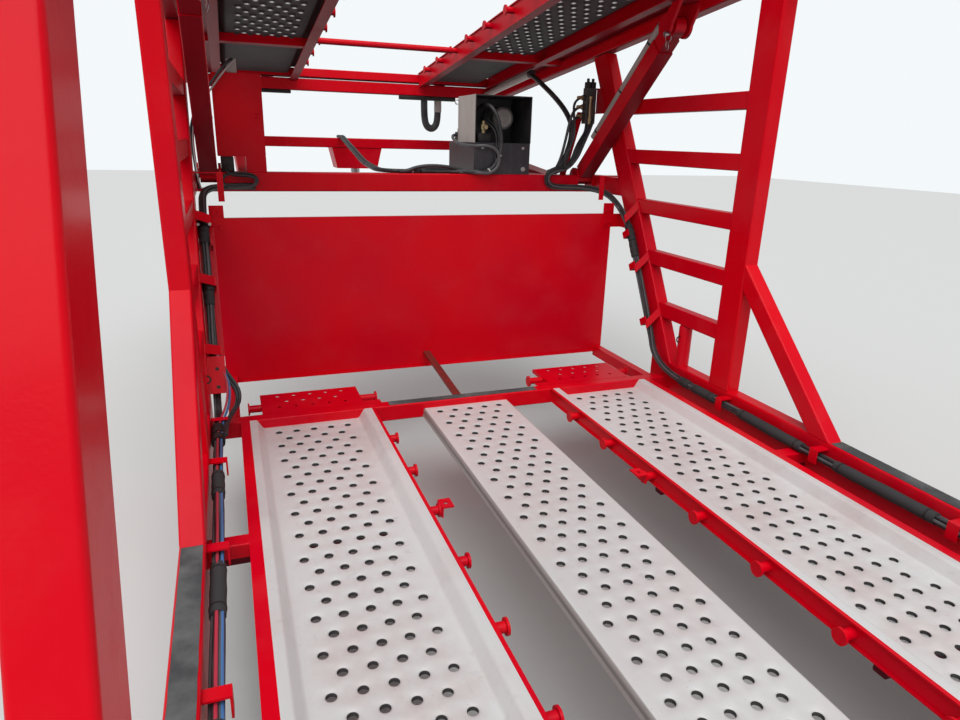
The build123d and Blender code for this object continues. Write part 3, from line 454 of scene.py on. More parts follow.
@dataclass(frozen=True)
class FoamCover(Finish):
    """Closed-cell foam with a pitted skin, with painted shade in the pits."""

    pit_shade: Colour = (0.012, 0.012, 0.013)

    def dress(self, graph: Graph) -> None:
        """Pits and creases across the sleeve.

        Args:
            graph: The material's nodes.
        """
        pits = graph.cells(240.0).step(0.24, 0.08)
        crease = graph.noise(24.0, 4.0, 0.6)
        # The pits are darkened with painted shade.
        graph.set("Base Color", graph.mix(self.colour, self.pit_shade, pits * 0.8))
        graph.bump(crease * 0.8 - pits * 0.4, 0.0022, 0.6)


@dataclass(frozen=True)
class BareMetal(Finish):
    """Machined or plated steel with tool marks and light tarnish."""

    tarnish: Colour = (0.20, 0.16, 0.13)
    tarnish_amount: float = 0.35

    def dress(self, graph: Graph) -> None:
        """Tarnish in small clouds over fine turning lines.

        Args:
            graph: The material's nodes.
        """
        cloud = graph.noise(38.0, 5.0, 0.6).step(0.45, 0.75)
        lines = graph.noise(300.0, 2.0, 0.5, (1.0, 1.0, 4.0))
        graph.set("Base Color", graph.mix(self.colour, self.tarnish, cloud * self.tarnish_amount))
        graph.set("Roughness", lines * 0.12 + cloud * 0.15 + self.roughness - 0.06)
        graph.bump(lines, 0.0002, 0.3)


@dataclass(frozen=True)
class Enamel(Finish):
    """Satin enamel on sheet steel or plastic, with dust and dull marks."""

    dust: Colour = (0.25, 0.24, 0.23)
    dust_amount: float = 0.2

    def dress(self, graph: Graph) -> None:
        """Dust clouds and rain streaks that run down.

        Args:
            graph: The material's nodes.
        """
        cloud = graph.noise(9.0, 6.0, 0.65).step(0.42, 0.8)
        run = graph.noise(20.0, 4.0, 0.6, (2.5, 2.5, 0.18)).step(0.5, 0.8)
        graph.set("Base Color", graph.mix(self.colour, self.dust, (cloud * 0.6 + run * 0.5) * self.dust_amount))
        graph.set("Roughness", cloud * 0.15 + self.roughness)
        graph.bump(graph.noise(260.0, 2.0), 0.0003, 0.3)


@dataclass(frozen=True)
class TwoFacedPanel(Finish):
    """Sheet housing with a weathered pale side and a dark rest."""

    pale: Colour = (0.46, 0.43, 0.40)
    stain: Colour = (0.24, 0.21, 0.19)
    pale_below_x: float = 0.0

    def dress(self, graph: Graph) -> None:
        """Pale and speckled where X lies below a limit, dark elsewhere.

        Args:
            graph: The material's nodes.
        """
        side = graph.coordinate("X").step(self.pale_below_x + 0.0010, self.pale_below_x + 0.0002)
        speck = graph.cells(90.0).step(0.30, 0.12) * graph.noise(16.0, 4.0).step(0.40, 0.62)
        smear = graph.noise(11.0, 6.0, 0.7, (1.0, 1.0, 0.35)).step(0.45, 0.75)
        pale = graph.mix(self.pale, self.stain, (speck * 0.55 + smear * 0.4).math("MINIMUM", 0.9))
        cloud = graph.noise(9.0, 5.0).step(0.4, 0.8)
        dark = graph.mix(self.colour, self.stain, cloud * 0.12)
        graph.set("Base Color", graph.mix(dark, pale, side))
        graph.set("Roughness", side * 0.25 + self.roughness)
        graph.bump(graph.noise(70.0, 4.0), 0.0008, 0.3)


RED = GlossPaint("Red gloss paint", (0.64, 0.0, 0.008), 0.32, coat=0.05)
# The outriggers' bars below the tracks are near-black with painted shade, seen through the holes.
OUTRIGGER_RED = replace(RED, name="Red paint, black under the tracks", shaded_below=-1.0535, underside_shade_amount=0.96)
STRUT_RED = replace(RED, name="Red paint, worn brown on the strut", roughness=0.34, worn_within=0.1)
# dark_below lies at each sheet's underside: the hole collars below it get painted shade, on the plank only within
# dark_within of the middle.
SHEET = WornSheet("Aluminium track sheet", (0.68, 0.675, 0.67), 0.42, metallic=0.25, wash_amount=0.5,
                  dark_below=-1.0530)
PLANK_SHEET = WornSheet("Aluminium plank sheet", (0.66, 0.65, 0.645), 0.40, metallic=0.25, wash_amount=0.22,
                        dark_below=-1.0410, dark_within=0.2)
# The upper deck's sheet is a darker copy of the track sheet and near-black underneath: painted shade of the deck, and
# partly real soiling.
DECK_SHEET = WornSheet("Upper deck sheet", (0.42, 0.41, 0.41), 0.5, metallic=0.4, wash_amount=0.4,
                       under_amount=0.96)
TAPE = GritTape("Grip tape", (0.045, 0.045, 0.048), 0.92)
HOSE = Rubber("Hose rubber", (0.018, 0.018, 0.020), 0.42)
GREY_HOSE = Rubber("Grey hose rubber", (0.075, 0.075, 0.08), 0.45, dust_amount=0.7)
BLUE_LINE = Rubber("Blue air line", (0.05, 0.16, 0.38), 0.35, dust_amount=0.2)
RED_LINE = Rubber("Red air line", (0.48, 0.03, 0.06), 0.35, dust_amount=0.2)
PALE_LINE = Rubber("Pale cable", (0.42, 0.42, 0.41), 0.4, dust_amount=0.2)
FOAM = FoamCover("Foam sleeve", (0.030, 0.030, 0.032), 0.85)
STEEL = BareMetal("Turned steel", (0.42, 0.42, 0.42), 0.34, metallic=1.0)
BRASS = BareMetal("Yellow fitting", (0.50, 0.40, 0.22), 0.36, metallic=0.9, tarnish_amount=0.5)
BLACK_STEEL = BareMetal("Blackened steel", (0.028, 0.026, 0.026), 0.5, metallic=0.5, tarnish_amount=0.15)
PIPE = Enamel("Grey conduit", (0.36, 0.335, 0.31), 0.5, dust=(0.52, 0.50, 0.47), dust_amount=0.5)
TANK = Enamel("Dark tank enamel", (0.016, 0.017, 0.022), 0.36, dust=(0.12, 0.11, 0.115), dust_amount=0.45)
FACE = Enamel("Pale motor face", (0.20, 0.19, 0.18), 0.5, dust=(0.36, 0.33, 0.30), dust_amount=0.6)
MOTOR = Enamel("Motor enamel", (0.040, 0.039, 0.038), 0.45, dust=(0.30, 0.27, 0.25), dust_amount=0.5)


def ring_angles(steps: int) -> np.ndarray:
    """Angles of even steps round a circle."""
    return np.linspace(0.0, 2 * math.pi, steps, endpoint=False)


def points_of(x: np.ndarray | float, y: np.ndarray | float, z: np.ndarray | float) -> np.ndarray:
    """Points from x, y and z that are spread over one another's axes."""
    return np.stack(np.broadcast_arrays(x, y, z), axis=-1)


def joined(grid: np.ndarray, across: bool = False, along: bool = False) -> np.ndarray:
    """Quads between neighbouring points of a grid.

    Args:
        grid: Points as an array of shape (along, across, 3).
        across: Whether the last column joins the first.
        along: Whether the last row joins the first.

    Returns:
        Quads as an array of shape (count, 4, 3).
    """
    if along:
        grid = np.concatenate([grid, grid[:1]], axis=0)
    if across:
        grid = np.concatenate([grid, grid[:, :1]], axis=1)
    corners = [grid[:-1, :-1], grid[1:, :-1], grid[1:, 1:], grid[:-1, 1:]]
    return np.stack(corners, axis=2).reshape(-1, 4, 3)


def lid(ring: np.ndarray) -> np.ndarray:
    """Close a ring of points with triangles to its centre, each given as a quad with a doubled corner."""
    middle = np.broadcast_to(ring.mean(axis=0), ring.shape)
    return np.stack([ring, np.roll(ring, -1, axis=0), middle, middle], axis=1)


def loft(rings: np.ndarray) -> np.ndarray:
    """A closed solid through rings of points of one count: walls from ring to ring and a lid at each end."""
    return np.concatenate([joined(rings, across=True), lid(rings[0]), lid(rings[-1])])


def basis(axis: Point | np.ndarray) -> tuple[np.ndarray, np.ndarray, np.ndarray]:
    """Two unit vectors square to an axis, and the axis as a unit vector.

    Args:
        axis: The direction, of any length.

    Returns:
        The three unit vectors.
    """
    along = np.array(axis, dtype=float) / np.linalg.norm(axis)
    helper = np.array([0.0, 0.0, 1.0]) if abs(along[2]) < 0.9 else np.array([1.0, 0.0, 0.0])
    first = np.cross(helper, along)
    first /= np.linalg.norm(first)
    return first, np.cross(along, first), along


def turned(profile: Iterable[tuple[float, float]], start: Point, axis: Point | np.ndarray,
           steps: int = 24) -> np.ndarray:
    """Surface of revolution: a profile of (height, radius) pairs turned about an axis.

    A point is start + height * axis + radius * (cos t * first + sin t * second), for t round the circle.

    Args:
        profile: Heights and radii in order; the ends are closed with lids.
        start: The place of height 0.
        axis: The direction of rising height.
        steps: Points round the circle.

    Returns:
        Quads of the closed surface.
    """
    heights, radii = np.array(list(profile), dtype=float).T[:, :, None, None]
    first, second, along = basis(axis)
    angle = ring_angles(steps)[None, :, None]
    return loft(np.array(start) + heights * along + radii * (np.cos(angle) * first + np.sin(angle) * second))


def rounded_block(low: Point, high: Point, radius: float) -> np.ndarray:
    """A box with rounded edges.

    Its outline from above is a rectangle with quarter circles of the radius at its corners. Layers of this
    outline rise from the bottom to the top, drawn in by radius * (1 - cos t) where they round over.

    Args:
        low: The lowest corner.
        high: The highest corner.
        radius: The radius of the edges.

    Returns:
        Quads of the closed surface.
    """
    low_corner, high_corner = np.array(low, dtype=float), np.array(high, dtype=float)
    half = (high_corner - low_corner) / 2 - radius
    quarter = np.linspace(0.0, math.pi / 2, QUARTER_STEPS + 1)
    angle = (np.arange(4)[:, None] * math.pi / 2 + quarter).reshape(-1)
    corner = np.repeat(np.array([[1, 1], [-1, 1], [-1, -1], [1, -1]]), QUARTER_STEPS + 1, axis=0) * half[:2]
    rise = np.concatenate([-half[2] - radius * np.cos(quarter), half[2] + radius * np.sin(quarter)])
    reach = np.concatenate([radius * np.sin(quarter), radius * np.cos(quarter)])[:, None]
    grid = points_of(corner[:, 0] + np.cos(angle) * reach, corner[:, 1] + np.sin(angle) * reach, rise[:, None])
    return loft(grid + (high_corner + low_corner) / 2)


def frames(line: np.ndarray) -> tuple[np.ndarray, np.ndarray]:
    """Two unit vectors square to a path at each of its points, without needless twist.

    Each tangent is the direction between a point's neighbours. A first normal comes from a fixed helper
    direction. Its turn against the normal before it, carried over by the least rotation, is summed along the
    path and taken back.

    Args:
        line: The path's points as an array of shape (count, 3).

    Returns:
        The normals and the binormals, each of shape (count, 3).
    """
    tangent = np.gradient(line, axis=0)
    tangent /= np.linalg.norm(tangent, axis=1, keepdims=True)
    normal = np.cross(tangent, FRAME_HELPER)
    normal /= np.linalg.norm(normal, axis=1, keepdims=True)
    binormal = np.cross(tangent, normal)
    before, after = tangent[:-1], tangent[1:]
    axis = np.cross(before, after)
    cosine = np.sum(before * after, axis=1, keepdims=True)
    old = normal[:-1]
    carried = old * cosine + np.cross(axis, old) + axis * np.sum(axis * old, axis=1, keepdims=True) / (1 + cosine)
    turn = np.arctan2(np.sum(carried * binormal[1:], axis=1), np.sum(carried * normal[1:], axis=1))
    angle = np.concatenate([[0.0], np.cumsum(turn)])[:, None]
    return (normal * np.cos(angle) + binormal * np.sin(angle), binormal * np.cos(angle) - normal * np.sin(angle))


def tube(line: np.ndarray, radius: float | np.ndarray, ring: int = 10) -> np.ndarray:
    """A closed round tube about a path.

    A point is the path's point + radius * (cos t * normal + sin t * binormal), for t round the circle.

    Args:
        line: The path's points.
        radius: One radius, or one for each point.
        ring: Points round the tube.

    Returns:
        Quads of the tube and its two lids.
    """
    normal, binormal = frames(line)
    angle = ring_angles(ring)[None, :, None]
    reach = np.broadcast_to(np.asarray(radius, dtype=float), (len(line),))[:, None, None]
    return loft(line[:, None] + reach * (np.cos(angle) * normal[:, None] + np.sin(angle) * binormal[:, None]))


def wire_ring(centre: Point, axis: Point, radius: float, wire: float) -> np.ndarray:
    """A closed ring of round wire.

    A point is centre + (radius + wire * cos b) * (cos a * first + sin a * second) + wire * sin b * axis.

    Args:
        centre: The ring's middle.
        axis: The direction square to its plane.
        radius: Radius to the wire's middle.
        wire: Radius of the wire.

    Returns:
        Quads of the ring.
    """
    first, second, along = basis(axis)
    a, b = ring_angles(RING_STEPS)[:, None, None], ring_angles(WIRE_STEPS)[None, :, None]
    grid = (np.array(centre) + (radius + wire * np.cos(b)) * (np.cos(a) * first + np.sin(a) * second)
            + wire * np.sin(b) * along)
    return joined(grid, across=True, along=True)


def lengths(line: np.ndarray) -> np.ndarray:
    """Distance along a path from its start to each of its points."""
    return np.concatenate([[0.0], np.cumsum(np.linalg.norm(np.diff(line, axis=0), axis=1))])


def between(line: np.ndarray, start: float, end: float, step: float) -> np.ndarray:
    """The stretch of a path between two distances along it, in even steps.

    Args:
        line: The path's points.
        start: Distance at which the stretch starts.
        end: Distance at which it ends.
        step: Length of one step, about.

    Returns:
        The stretch's points, read off the path by linear interpolation.
    """
    place = lengths(line)
    wanted = np.linspace(start, end, max(3, int(round((end - start) / step)) + 1))
    return np.stack([np.interp(wanted, place, line[:, k]) for k in range(3)], axis=1)


def mirrored(quads: np.ndarray, side: Side) -> np.ndarray:
    """The quads as they are for the right side, or with X turned over for the left side."""
    return quads * np.array([side.value, 1.0, 1.0])


class Solid:
    """Quads gathered from surfaces, to be welded into one closed piece."""

    def __init__(self, *parts: np.ndarray) -> None:
        """Start with the given arrays of quads."""
        self.parts = list(parts)

    def add(self, *parts: np.ndarray) -> None:
        """Add arrays of quads."""
        self.parts.extend(parts)

    def piece(self, name: str, finish: Finish, slot: Slot, replaces: str = "", body: Body = Body.BAY) -> None:
        """Weld the quads and make the piece.

        Points that agree to a thousandth of a millimetre become one. A quad with two equal neighbours becomes
        a triangle. The faces are then turned outwards.

        Args:
            name: The piece's name.
            finish: The finish that it wears.
            slot: The record's slot; not used.
            replaces: The node that it stands for, if any.
            body: The body that it rides on.
        """
        quads = np.concatenate(self.parts)
        keys = np.round(quads.reshape(-1, 3) / WELD_DISTANCE).astype(np.int64)
        unique, index = np.unique(keys, axis=0, return_inverse=True)
        corners = index.reshape(-1, 4)
        same = corners == np.roll(corners, -1, axis=1)
        whole = corners[~same.any(axis=1)]
        thin = [np.delete(corners[same[:, k] & (same.sum(axis=1) == 1)], k, axis=1) for k in range(4)]
        mesh = bpy.data.meshes.new(name)
        mesh.from_pydata((unique * WELD_DISTANCE).tolist(), [], whole.tolist() + np.concatenate(thin).tolist())
        shell = bmesh.new()
        shell.from_mesh(mesh)
        bmesh.ops.recalc_face_normals(shell, faces=shell.faces)
        shell.to_mesh(mesh)
        shell.free()
        mesh.shade_smooth()
        mesh.set_sharp_from_angle(angle=SHARP_ANGLE)
        mesh.materials.append(finish.material())
        made = bpy.data.objects.new(name, mesh)
        bpy.context.scene.collection.objects.link(made)
        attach(made, body.value)
        if replaces:
            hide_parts(replaces)
        log.info("%s: %d faces", name, len(mesh.polygons))

    def pair(self, name: str, finish: Finish, slot: Slot, replaces: str = "",
             body: Body | None = Body.BAY) -> None:
        """Make the piece on both sides from the right side's quads.

        Args:
            name: The piece's name, to which the side is added.
            finish: The finish that it wears.
            slot: The record's slot, passed on to each piece.
            replaces: The node that it stands for, if any, without its side.
            body: The body that it rides on, or None for the side's own lift arm.
        """
        for side in Side:
            node = f"{replaces}_{side.word}" if replaces else ""
            Solid(*[mirrored(quads, side) for quads in self.parts]).piece(
                f"{name}_{side.word}", finish, slot, node, body or Body[f"ARM_{side.name}"])


@dataclass(frozen=True)
class Route:
    """A hose's route: points given in millimetres, which a smooth spline follows."""

    name: str
    points: tuple[Point, ...]

    def line(self, side: Side = Side.RIGHT) -> np.ndarray:
        """Points along the route's NURBS spline.

        Args:
            side: The left side takes the route mirrored.

        Returns:
            The points, in metres, as an array of shape (count, 3).
        """
        curve = bpy.data.curves.new(self.name, "CURVE")
        curve.dimensions = "3D"
        spline = curve.splines.new("NURBS")
        spline.points.add(len(self.points) - 1)
        weighted = np.ones((len(self.points), 4))
        weighted[:, :3] = np.array(self.points) / MM_PER_M * (side.value, 1.0, 1.0)
        spline.points.foreach_set("co", weighted.reshape(-1))
        spline.order_u = SPLINE_ORDER
        spline.use_endpoint_u = True
        spline.resolution_u = SPLINE_STEPS
        holder = bpy.data.objects.new(self.name, curve)
        mesh = bpy.data.meshes.new_from_object(holder)
        found = np.empty(len(mesh.vertices) * 3)
        mesh.vertices.foreach_get("co", found)
        bpy.data.objects.remove(holder)
        bpy.data.meshes.remove(mesh)
        bpy.data.curves.remove(curve)
        return found.reshape(-1, 3)

    def path(self, step: float, side: Side = Side.RIGHT) -> np.ndarray:
        """The whole line in even steps of about a length."""
        line = self.line(side)
        return between(line, 0.0, lengths(line)[-1], step)


@dataclass(frozen=True)
class HoleField:
    """Punched holes in staggered rows, each in a pressed dimple.

    A row holds `columns` cells, and the next row one cell fewer, shifted by half a cell. Each cell's square
    border has sixteen points, which run in over the flat to the dimple's rim, down to the hole's edge, down
    the wall of its drawn collar, and out again under the sheet.
    """

    columns: int = 5
    pitch_x: float = 0.079
    pitch_y: float = 0.075
    hole_r: float = 0.0148
    draw: float = 0.0006
    dimple_r: float = 0.0225
    dip: float = 0.0032
    collar: float = 0.0065
    thickness: float = 0.005
    segments: int = 4

    @property
    def half_width(self) -> float:
        """Half the field's width."""
        return self.columns * self.pitch_x / 2

    def rows(self, start_y: float, end_y: float) -> int:
        """Whole rows that fit from a start back to an end."""
        return int((start_y - end_y) / self.pitch_y)

    def quads(self, centre_x: float, start_y: float, rows: int, level: float) -> np.ndarray:
        """Surface of the field, above and below, with the walls of its holes.

        Args:
            centre_x: The field's middle.
            start_y: Its front border.
            rows: Rows from there backwards.
            level: Height of the sheet's top.

        Returns:
            Quads of the perforated sheet, open at the field's border.
        """
        turn = np.arange(4 * self.segments) * math.pi / (2 * self.segments)
        circle = np.stack([np.cos(turn), np.sin(turn)], axis=1)
        square = circle / np.abs(circle).max(axis=1, keepdims=True)
        square = np.round(square * self.segments / 2) / (self.segments / 2)
        border = square * np.array([self.pitch_x, self.pitch_y]) / 2
        under = -self.thickness
        rings = ((border, 0.0), (circle * self.dimple_r, 0.0), (circle * self.hole_r, -self.dip),
                 (circle * (self.hole_r - self.draw), under - self.dip - self.collar),
                 (circle * self.dimple_r, under), (border, under))
        cell = joined(np.stack([points_of(*ring.T, z) for ring, z in rings]), across=True)
        row, column = np.meshgrid(np.arange(rows), np.arange(self.columns), indexing="ij")
        short = row % 2 == 1
        there = ~(short & (column == self.columns - 1))
        x = centre_x - self.half_width + (column + 0.5 + 0.5 * short) * self.pitch_x
        y = start_y - (row + 0.5) * self.pitch_y
        holes = cell[None] + points_of(x[there], y[there], level)[:, None, None]
        return np.concatenate([holes.reshape(-1, 4, 3), *self._half_cells(centre_x, start_y, rows, level)])

    def _half_cells(self, centre_x: float, start_y: float, rows: int, level: float) -> list[np.ndarray]:
        """The plain half cells at both ends of each short row, above and below.

        Args:
            centre_x: The field's middle.
            start_y: Its front border.
            rows: Rows from there backwards.
            level: Height of the sheet's top.

        Returns:
            Four arrays of quads.
        """
        y = np.linspace(0.0, -self.pitch_y, self.segments + 1)[:, None]
        x = np.linspace(0.0, self.pitch_x / 2, self.segments // 2 + 1)
        starts = points_of(0.0, start_y - np.arange(1, rows, 2) * self.pitch_y, 0.0)[:, None, None]
        return [(joined(points_of(centre_x + edge + way * x, y, z))[None] + starts).reshape(-1, 4, 3)
                for edge, way in ((-self.half_width, 1.0), (self.half_width, -1.0))
                for z in (level, level - self.thickness)]

    def across(self) -> np.ndarray:
        """Offsets of the border's points across the field."""
        return np.linspace(-self.half_width, self.half_width, self.columns * self.segments + 1)

    def along(self, rows: int) -> np.ndarray:
        """Offsets of the border's points from the front border backwards."""
        return -np.linspace(0.0, rows * self.pitch_y, rows * self.segments + 1)


@dataclass(frozen=True)
class FoldedSheet:
    """The folded section of a perforated sheet, on both sides of its hole field.

    Each flank follows a line through its corners. Every corner is rounded by a quadratic curve that starts and
    ends at the fold's radius from it. The sheet's lower face lies one thickness below that line, along its
    normals.
    """

    field: HoleField
    centre_x: float
    left: Profile
    right: Profile
    fold_r: float = 0.008
    fold_steps: int = 4

    def flank(self, corners: Profile) -> tuple[np.ndarray, np.ndarray]:
        """Upper and lower line of a flank.

        Args:
            corners: Corners of the upper line, from the field's border outwards.

        Returns:
            The two lines, each an array of (x, z).
        """
        points = np.array(corners)
        middle = points[1:-1]
        before, after = points[:-2] - middle, points[2:] - middle
        before /= np.linalg.norm(before, axis=1, keepdims=True)
        after /= np.linalg.norm(after, axis=1, keepdims=True)
        share = np.linspace(0.0, 1.0, self.fold_steps + 1)[None, :, None]
        start, end = middle + before * self.fold_r, middle + after * self.fold_r
        arcs = ((1 - share) ** 2 * start[:, None] + 2 * share * (1 - share) * middle[:, None]
                + share ** 2 * end[:, None])
        upper = np.concatenate([points[:1], arcs.reshape(-1, 2), points[-1:]])
        slope = np.gradient(upper, axis=0)
        slope /= np.linalg.norm(slope, axis=1, keepdims=True)
        normal = np.stack([slope[:, 1], -slope[:, 0]], axis=1)
        # Every normal is turned downwards; the small term keeps a level one from vanishing.
        normal *= np.sign(-normal[:, 1:2] + 1e-9)
        normal[0] = (0.0, -1.0)
        return upper, upper + normal * self.field.thickness

    def quads(self, front_y: float, rear_y: float, field_front_y: float) -> np.ndarray:
        """The whole sheet, closed, with its holes.

        Args:
            front_y: Front end of the sheet.
            rear_y: Rear end, which also limits the perforated field.
            field_front_y: Front border of the perforated field.

        Returns:
            Quads of the closed sheet.
        """
        field = self.field
        rows = field.rows(field_front_y, rear_y)
        level = self.left[0][1]
        faces = np.array([level, level - field.thickness])
        places = np.concatenate([[front_y], field_front_y + field.along(rows), [rear_y]])
        made = [field.quads(self.centre_x, field_front_y, rows, level)]
        for corners in (self.left, self.right):
            grids = [points_of(line[:, 0], places[:, None], line[:, 1]) for line in self.flank(corners)]
            made += [joined(grid) for grid in grids]
            made += [joined(np.stack([grid[edge] for grid in grids])) for edge in (np.s_[:, -1], 0, -1)]
        x = self.centre_x + field.across()
        made += [joined(points_of(x, np.array(ends)[:, None], z))
                 for ends in ((front_y, field_front_y), (places[-2], rear_y)) for z in faces]
        made += [joined(points_of(x, y, faces[:, None])) for y in (front_y, rear_y)]
        return np.concatenate(made)


@dataclass(frozen=True)
class WheelTracks:
    """The perforated tracks of both decks and the plank between the lower ones."""

    inner_x: float = 0.492
    outer_x: float = 1.060
    lip_in: float = 0.038
    lip_out: float = 0.032
    slope_w: float = 0.027
    depth: float = 0.045
    level: float = -1.004
    front_y: float = -3.055
    rear_y: float = -5.850
    first_row_y: float = -3.0815
    deck_level: float = 0.070
    deck_front: float = 0.070
    deck_back: float = 3.1176
    deck_holes_from: float = 1.1345
    deck_slope: float = math.radians(6.085)
    deck_origin: tuple[float, float] = (-0.250, 0.683)
    plank_half_w: float = 0.229
    plank_drop: float = 0.033
    plank_depth: float = 0.038
    plank_r: float = 0.014
    plank_first_row_y: float = -3.072

    def section(self, level: float) -> FoldedSheet:
        """The folded sheet of a right-hand track at a level.

        Args:
            level: Height of the sheet's highest face.

        Returns:
            The section with its hole field.
        """
        field = HoleField()
        floor = level - self.depth
        inner, outer = self.inner_x + self.lip_in, self.outer_x - self.lip_out
        centre = (inner + outer) / 2
        left = ((centre - field.half_width, floor), (inner + self.slope_w, floor), (inner, level),
                (self.inner_x, level))
        right = ((centre + field.half_width, floor), (outer - self.slope_w, floor), (outer, level),
                 (self.outer_x, level))
        return FoldedSheet(field, centre, left, right)

    def plank(self) -> FoldedSheet:
        """The plank's section, whose edges fold down.

        Returns:
            The section with its hole field.
        """
        field = HoleField()
        level = self.level - self.plank_drop
        left, right = (((way * field.half_width, level), (way * self.plank_half_w, level),
                        (way * self.plank_half_w, level - self.plank_depth)) for way in (-1.0, 1.0))
        return FoldedSheet(field, 0.0, left, right, fold_r=self.plank_r)

    def on_deck(self, quads: np.ndarray) -> np.ndarray:
        """Tilt quads drawn flat to the upper deck's slope: a turn about X, then a shift to its front end.

        Args:
            quads: Quads with the hinge end at Y = 0.

        Returns:
            The quads where the deck lies.
        """
        cosine, sine = math.cos(self.deck_slope), math.sin(self.deck_slope)
        x, y, z = np.moveaxis(quads, -1, 0)
        return points_of(x, y * cosine + z * sine + self.deck_origin[0], z * cosine - y * sine + self.deck_origin[1])

    def build(self) -> None:
        """Make the five perforated sheets."""
        lower = self.section(self.level).quads(self.front_y, self.rear_y, self.first_row_y)
        Solid(lower).pair("track_sheet", SHEET, Slot.ALUMINIUM, "track_pan")
        upper = self.section(self.deck_level).quads(-self.deck_front, -self.deck_back, -self.deck_holes_from)
        Solid(self.on_deck(upper)).pair("deck_sheet", DECK_SHEET, Slot.ALUMINIUM, "deck_pan", Body.DECK)
        plank = self.plank().quads(self.front_y, self.rear_y, self.plank_first_row_y)
        Solid(plank).piece("plank_sheet", PLANK_SHEET, Slot.ALUMINIUM, "centre_plank")


@dataclass(frozen=True)
class GripStrips:
    """Grip tape on the side rails and on the front cross-member."""

    thickness: float = 0.0018
    waver: float = 0.0006
    waves: float = 37.0
    step: float = 0.05
    rail_x: tuple[float, float] = (1.229, 1.290)
    rail_z: float = -0.920
    rail_runs: tuple[tuple[float, float], ...] = ((-5.926, -5.834), (-5.668, -4.196))
    beam_x: float = 0.400
    beam_y: tuple[float, float] = (-3.047, -2.999)
    beam_z: float = -1.004

    def strip(self, low: tuple[float, float], high: tuple[float, float], z: float, across: int,
              along: int) -> np.ndarray:
        """A thin slab whose border wavers by about half a millimetre, as cut by hand.

        With u and v as shares of its width and length, the border moves by waver * sin(waves * (u + 2 v)).

        Args:
            low: Lowest x and y.
            high: Highest x and y.
            z: The level that it lies on.
            across: Steps along x.
            along: Steps along y.

        Returns:
            Quads of the closed slab.
        """
        u, v = np.meshgrid(np.linspace(0, 1, across + 1), np.linspace(0, 1, along + 1), indexing="ij")
        waver = self.waver * np.sin(self.waves * (u + 2.0 * v))
        x = low[0] + (high[0] - low[0]) * u + waver * (v > 0) * (v < 1)
        y = low[1] + (high[1] - low[1]) * v + waver * (u > 0) * (u < 1)
        faces = [points_of(x, y, level) for level in (z + self.thickness, z)]
        border = [np.stack([face[edge] for face in faces]) for edge in (0, -1, np.s_[:, 0], np.s_[:, -1])]
        return np.concatenate([joined(grid) for grid in faces + border])

    def build(self) -> None:
        """Make the strips."""
        rail = Solid()
        for start, end in self.rail_runs:
            rail.add(self.strip((self.rail_x[0], start), (self.rail_x[1], end), self.rail_z, 2,
                                max(3, int((end - start) / self.step))))
        rail.pair("rail_grip", TAPE, Slot.HOSE)
        beam = self.strip((-self.beam_x, self.beam_y[0]), (self.beam_x, self.beam_y[1]), self.beam_z, 16, 2)
        Solid(beam).piece("crossmember_grip", TAPE, Slot.HOSE)


@dataclass(frozen=True)
class Strand:
    """One hose or cable of a bundle: its radius, its place in the bundle and its finish."""

    name: str
    radius: float
    distance: float
    angle: float
    finish: Finish


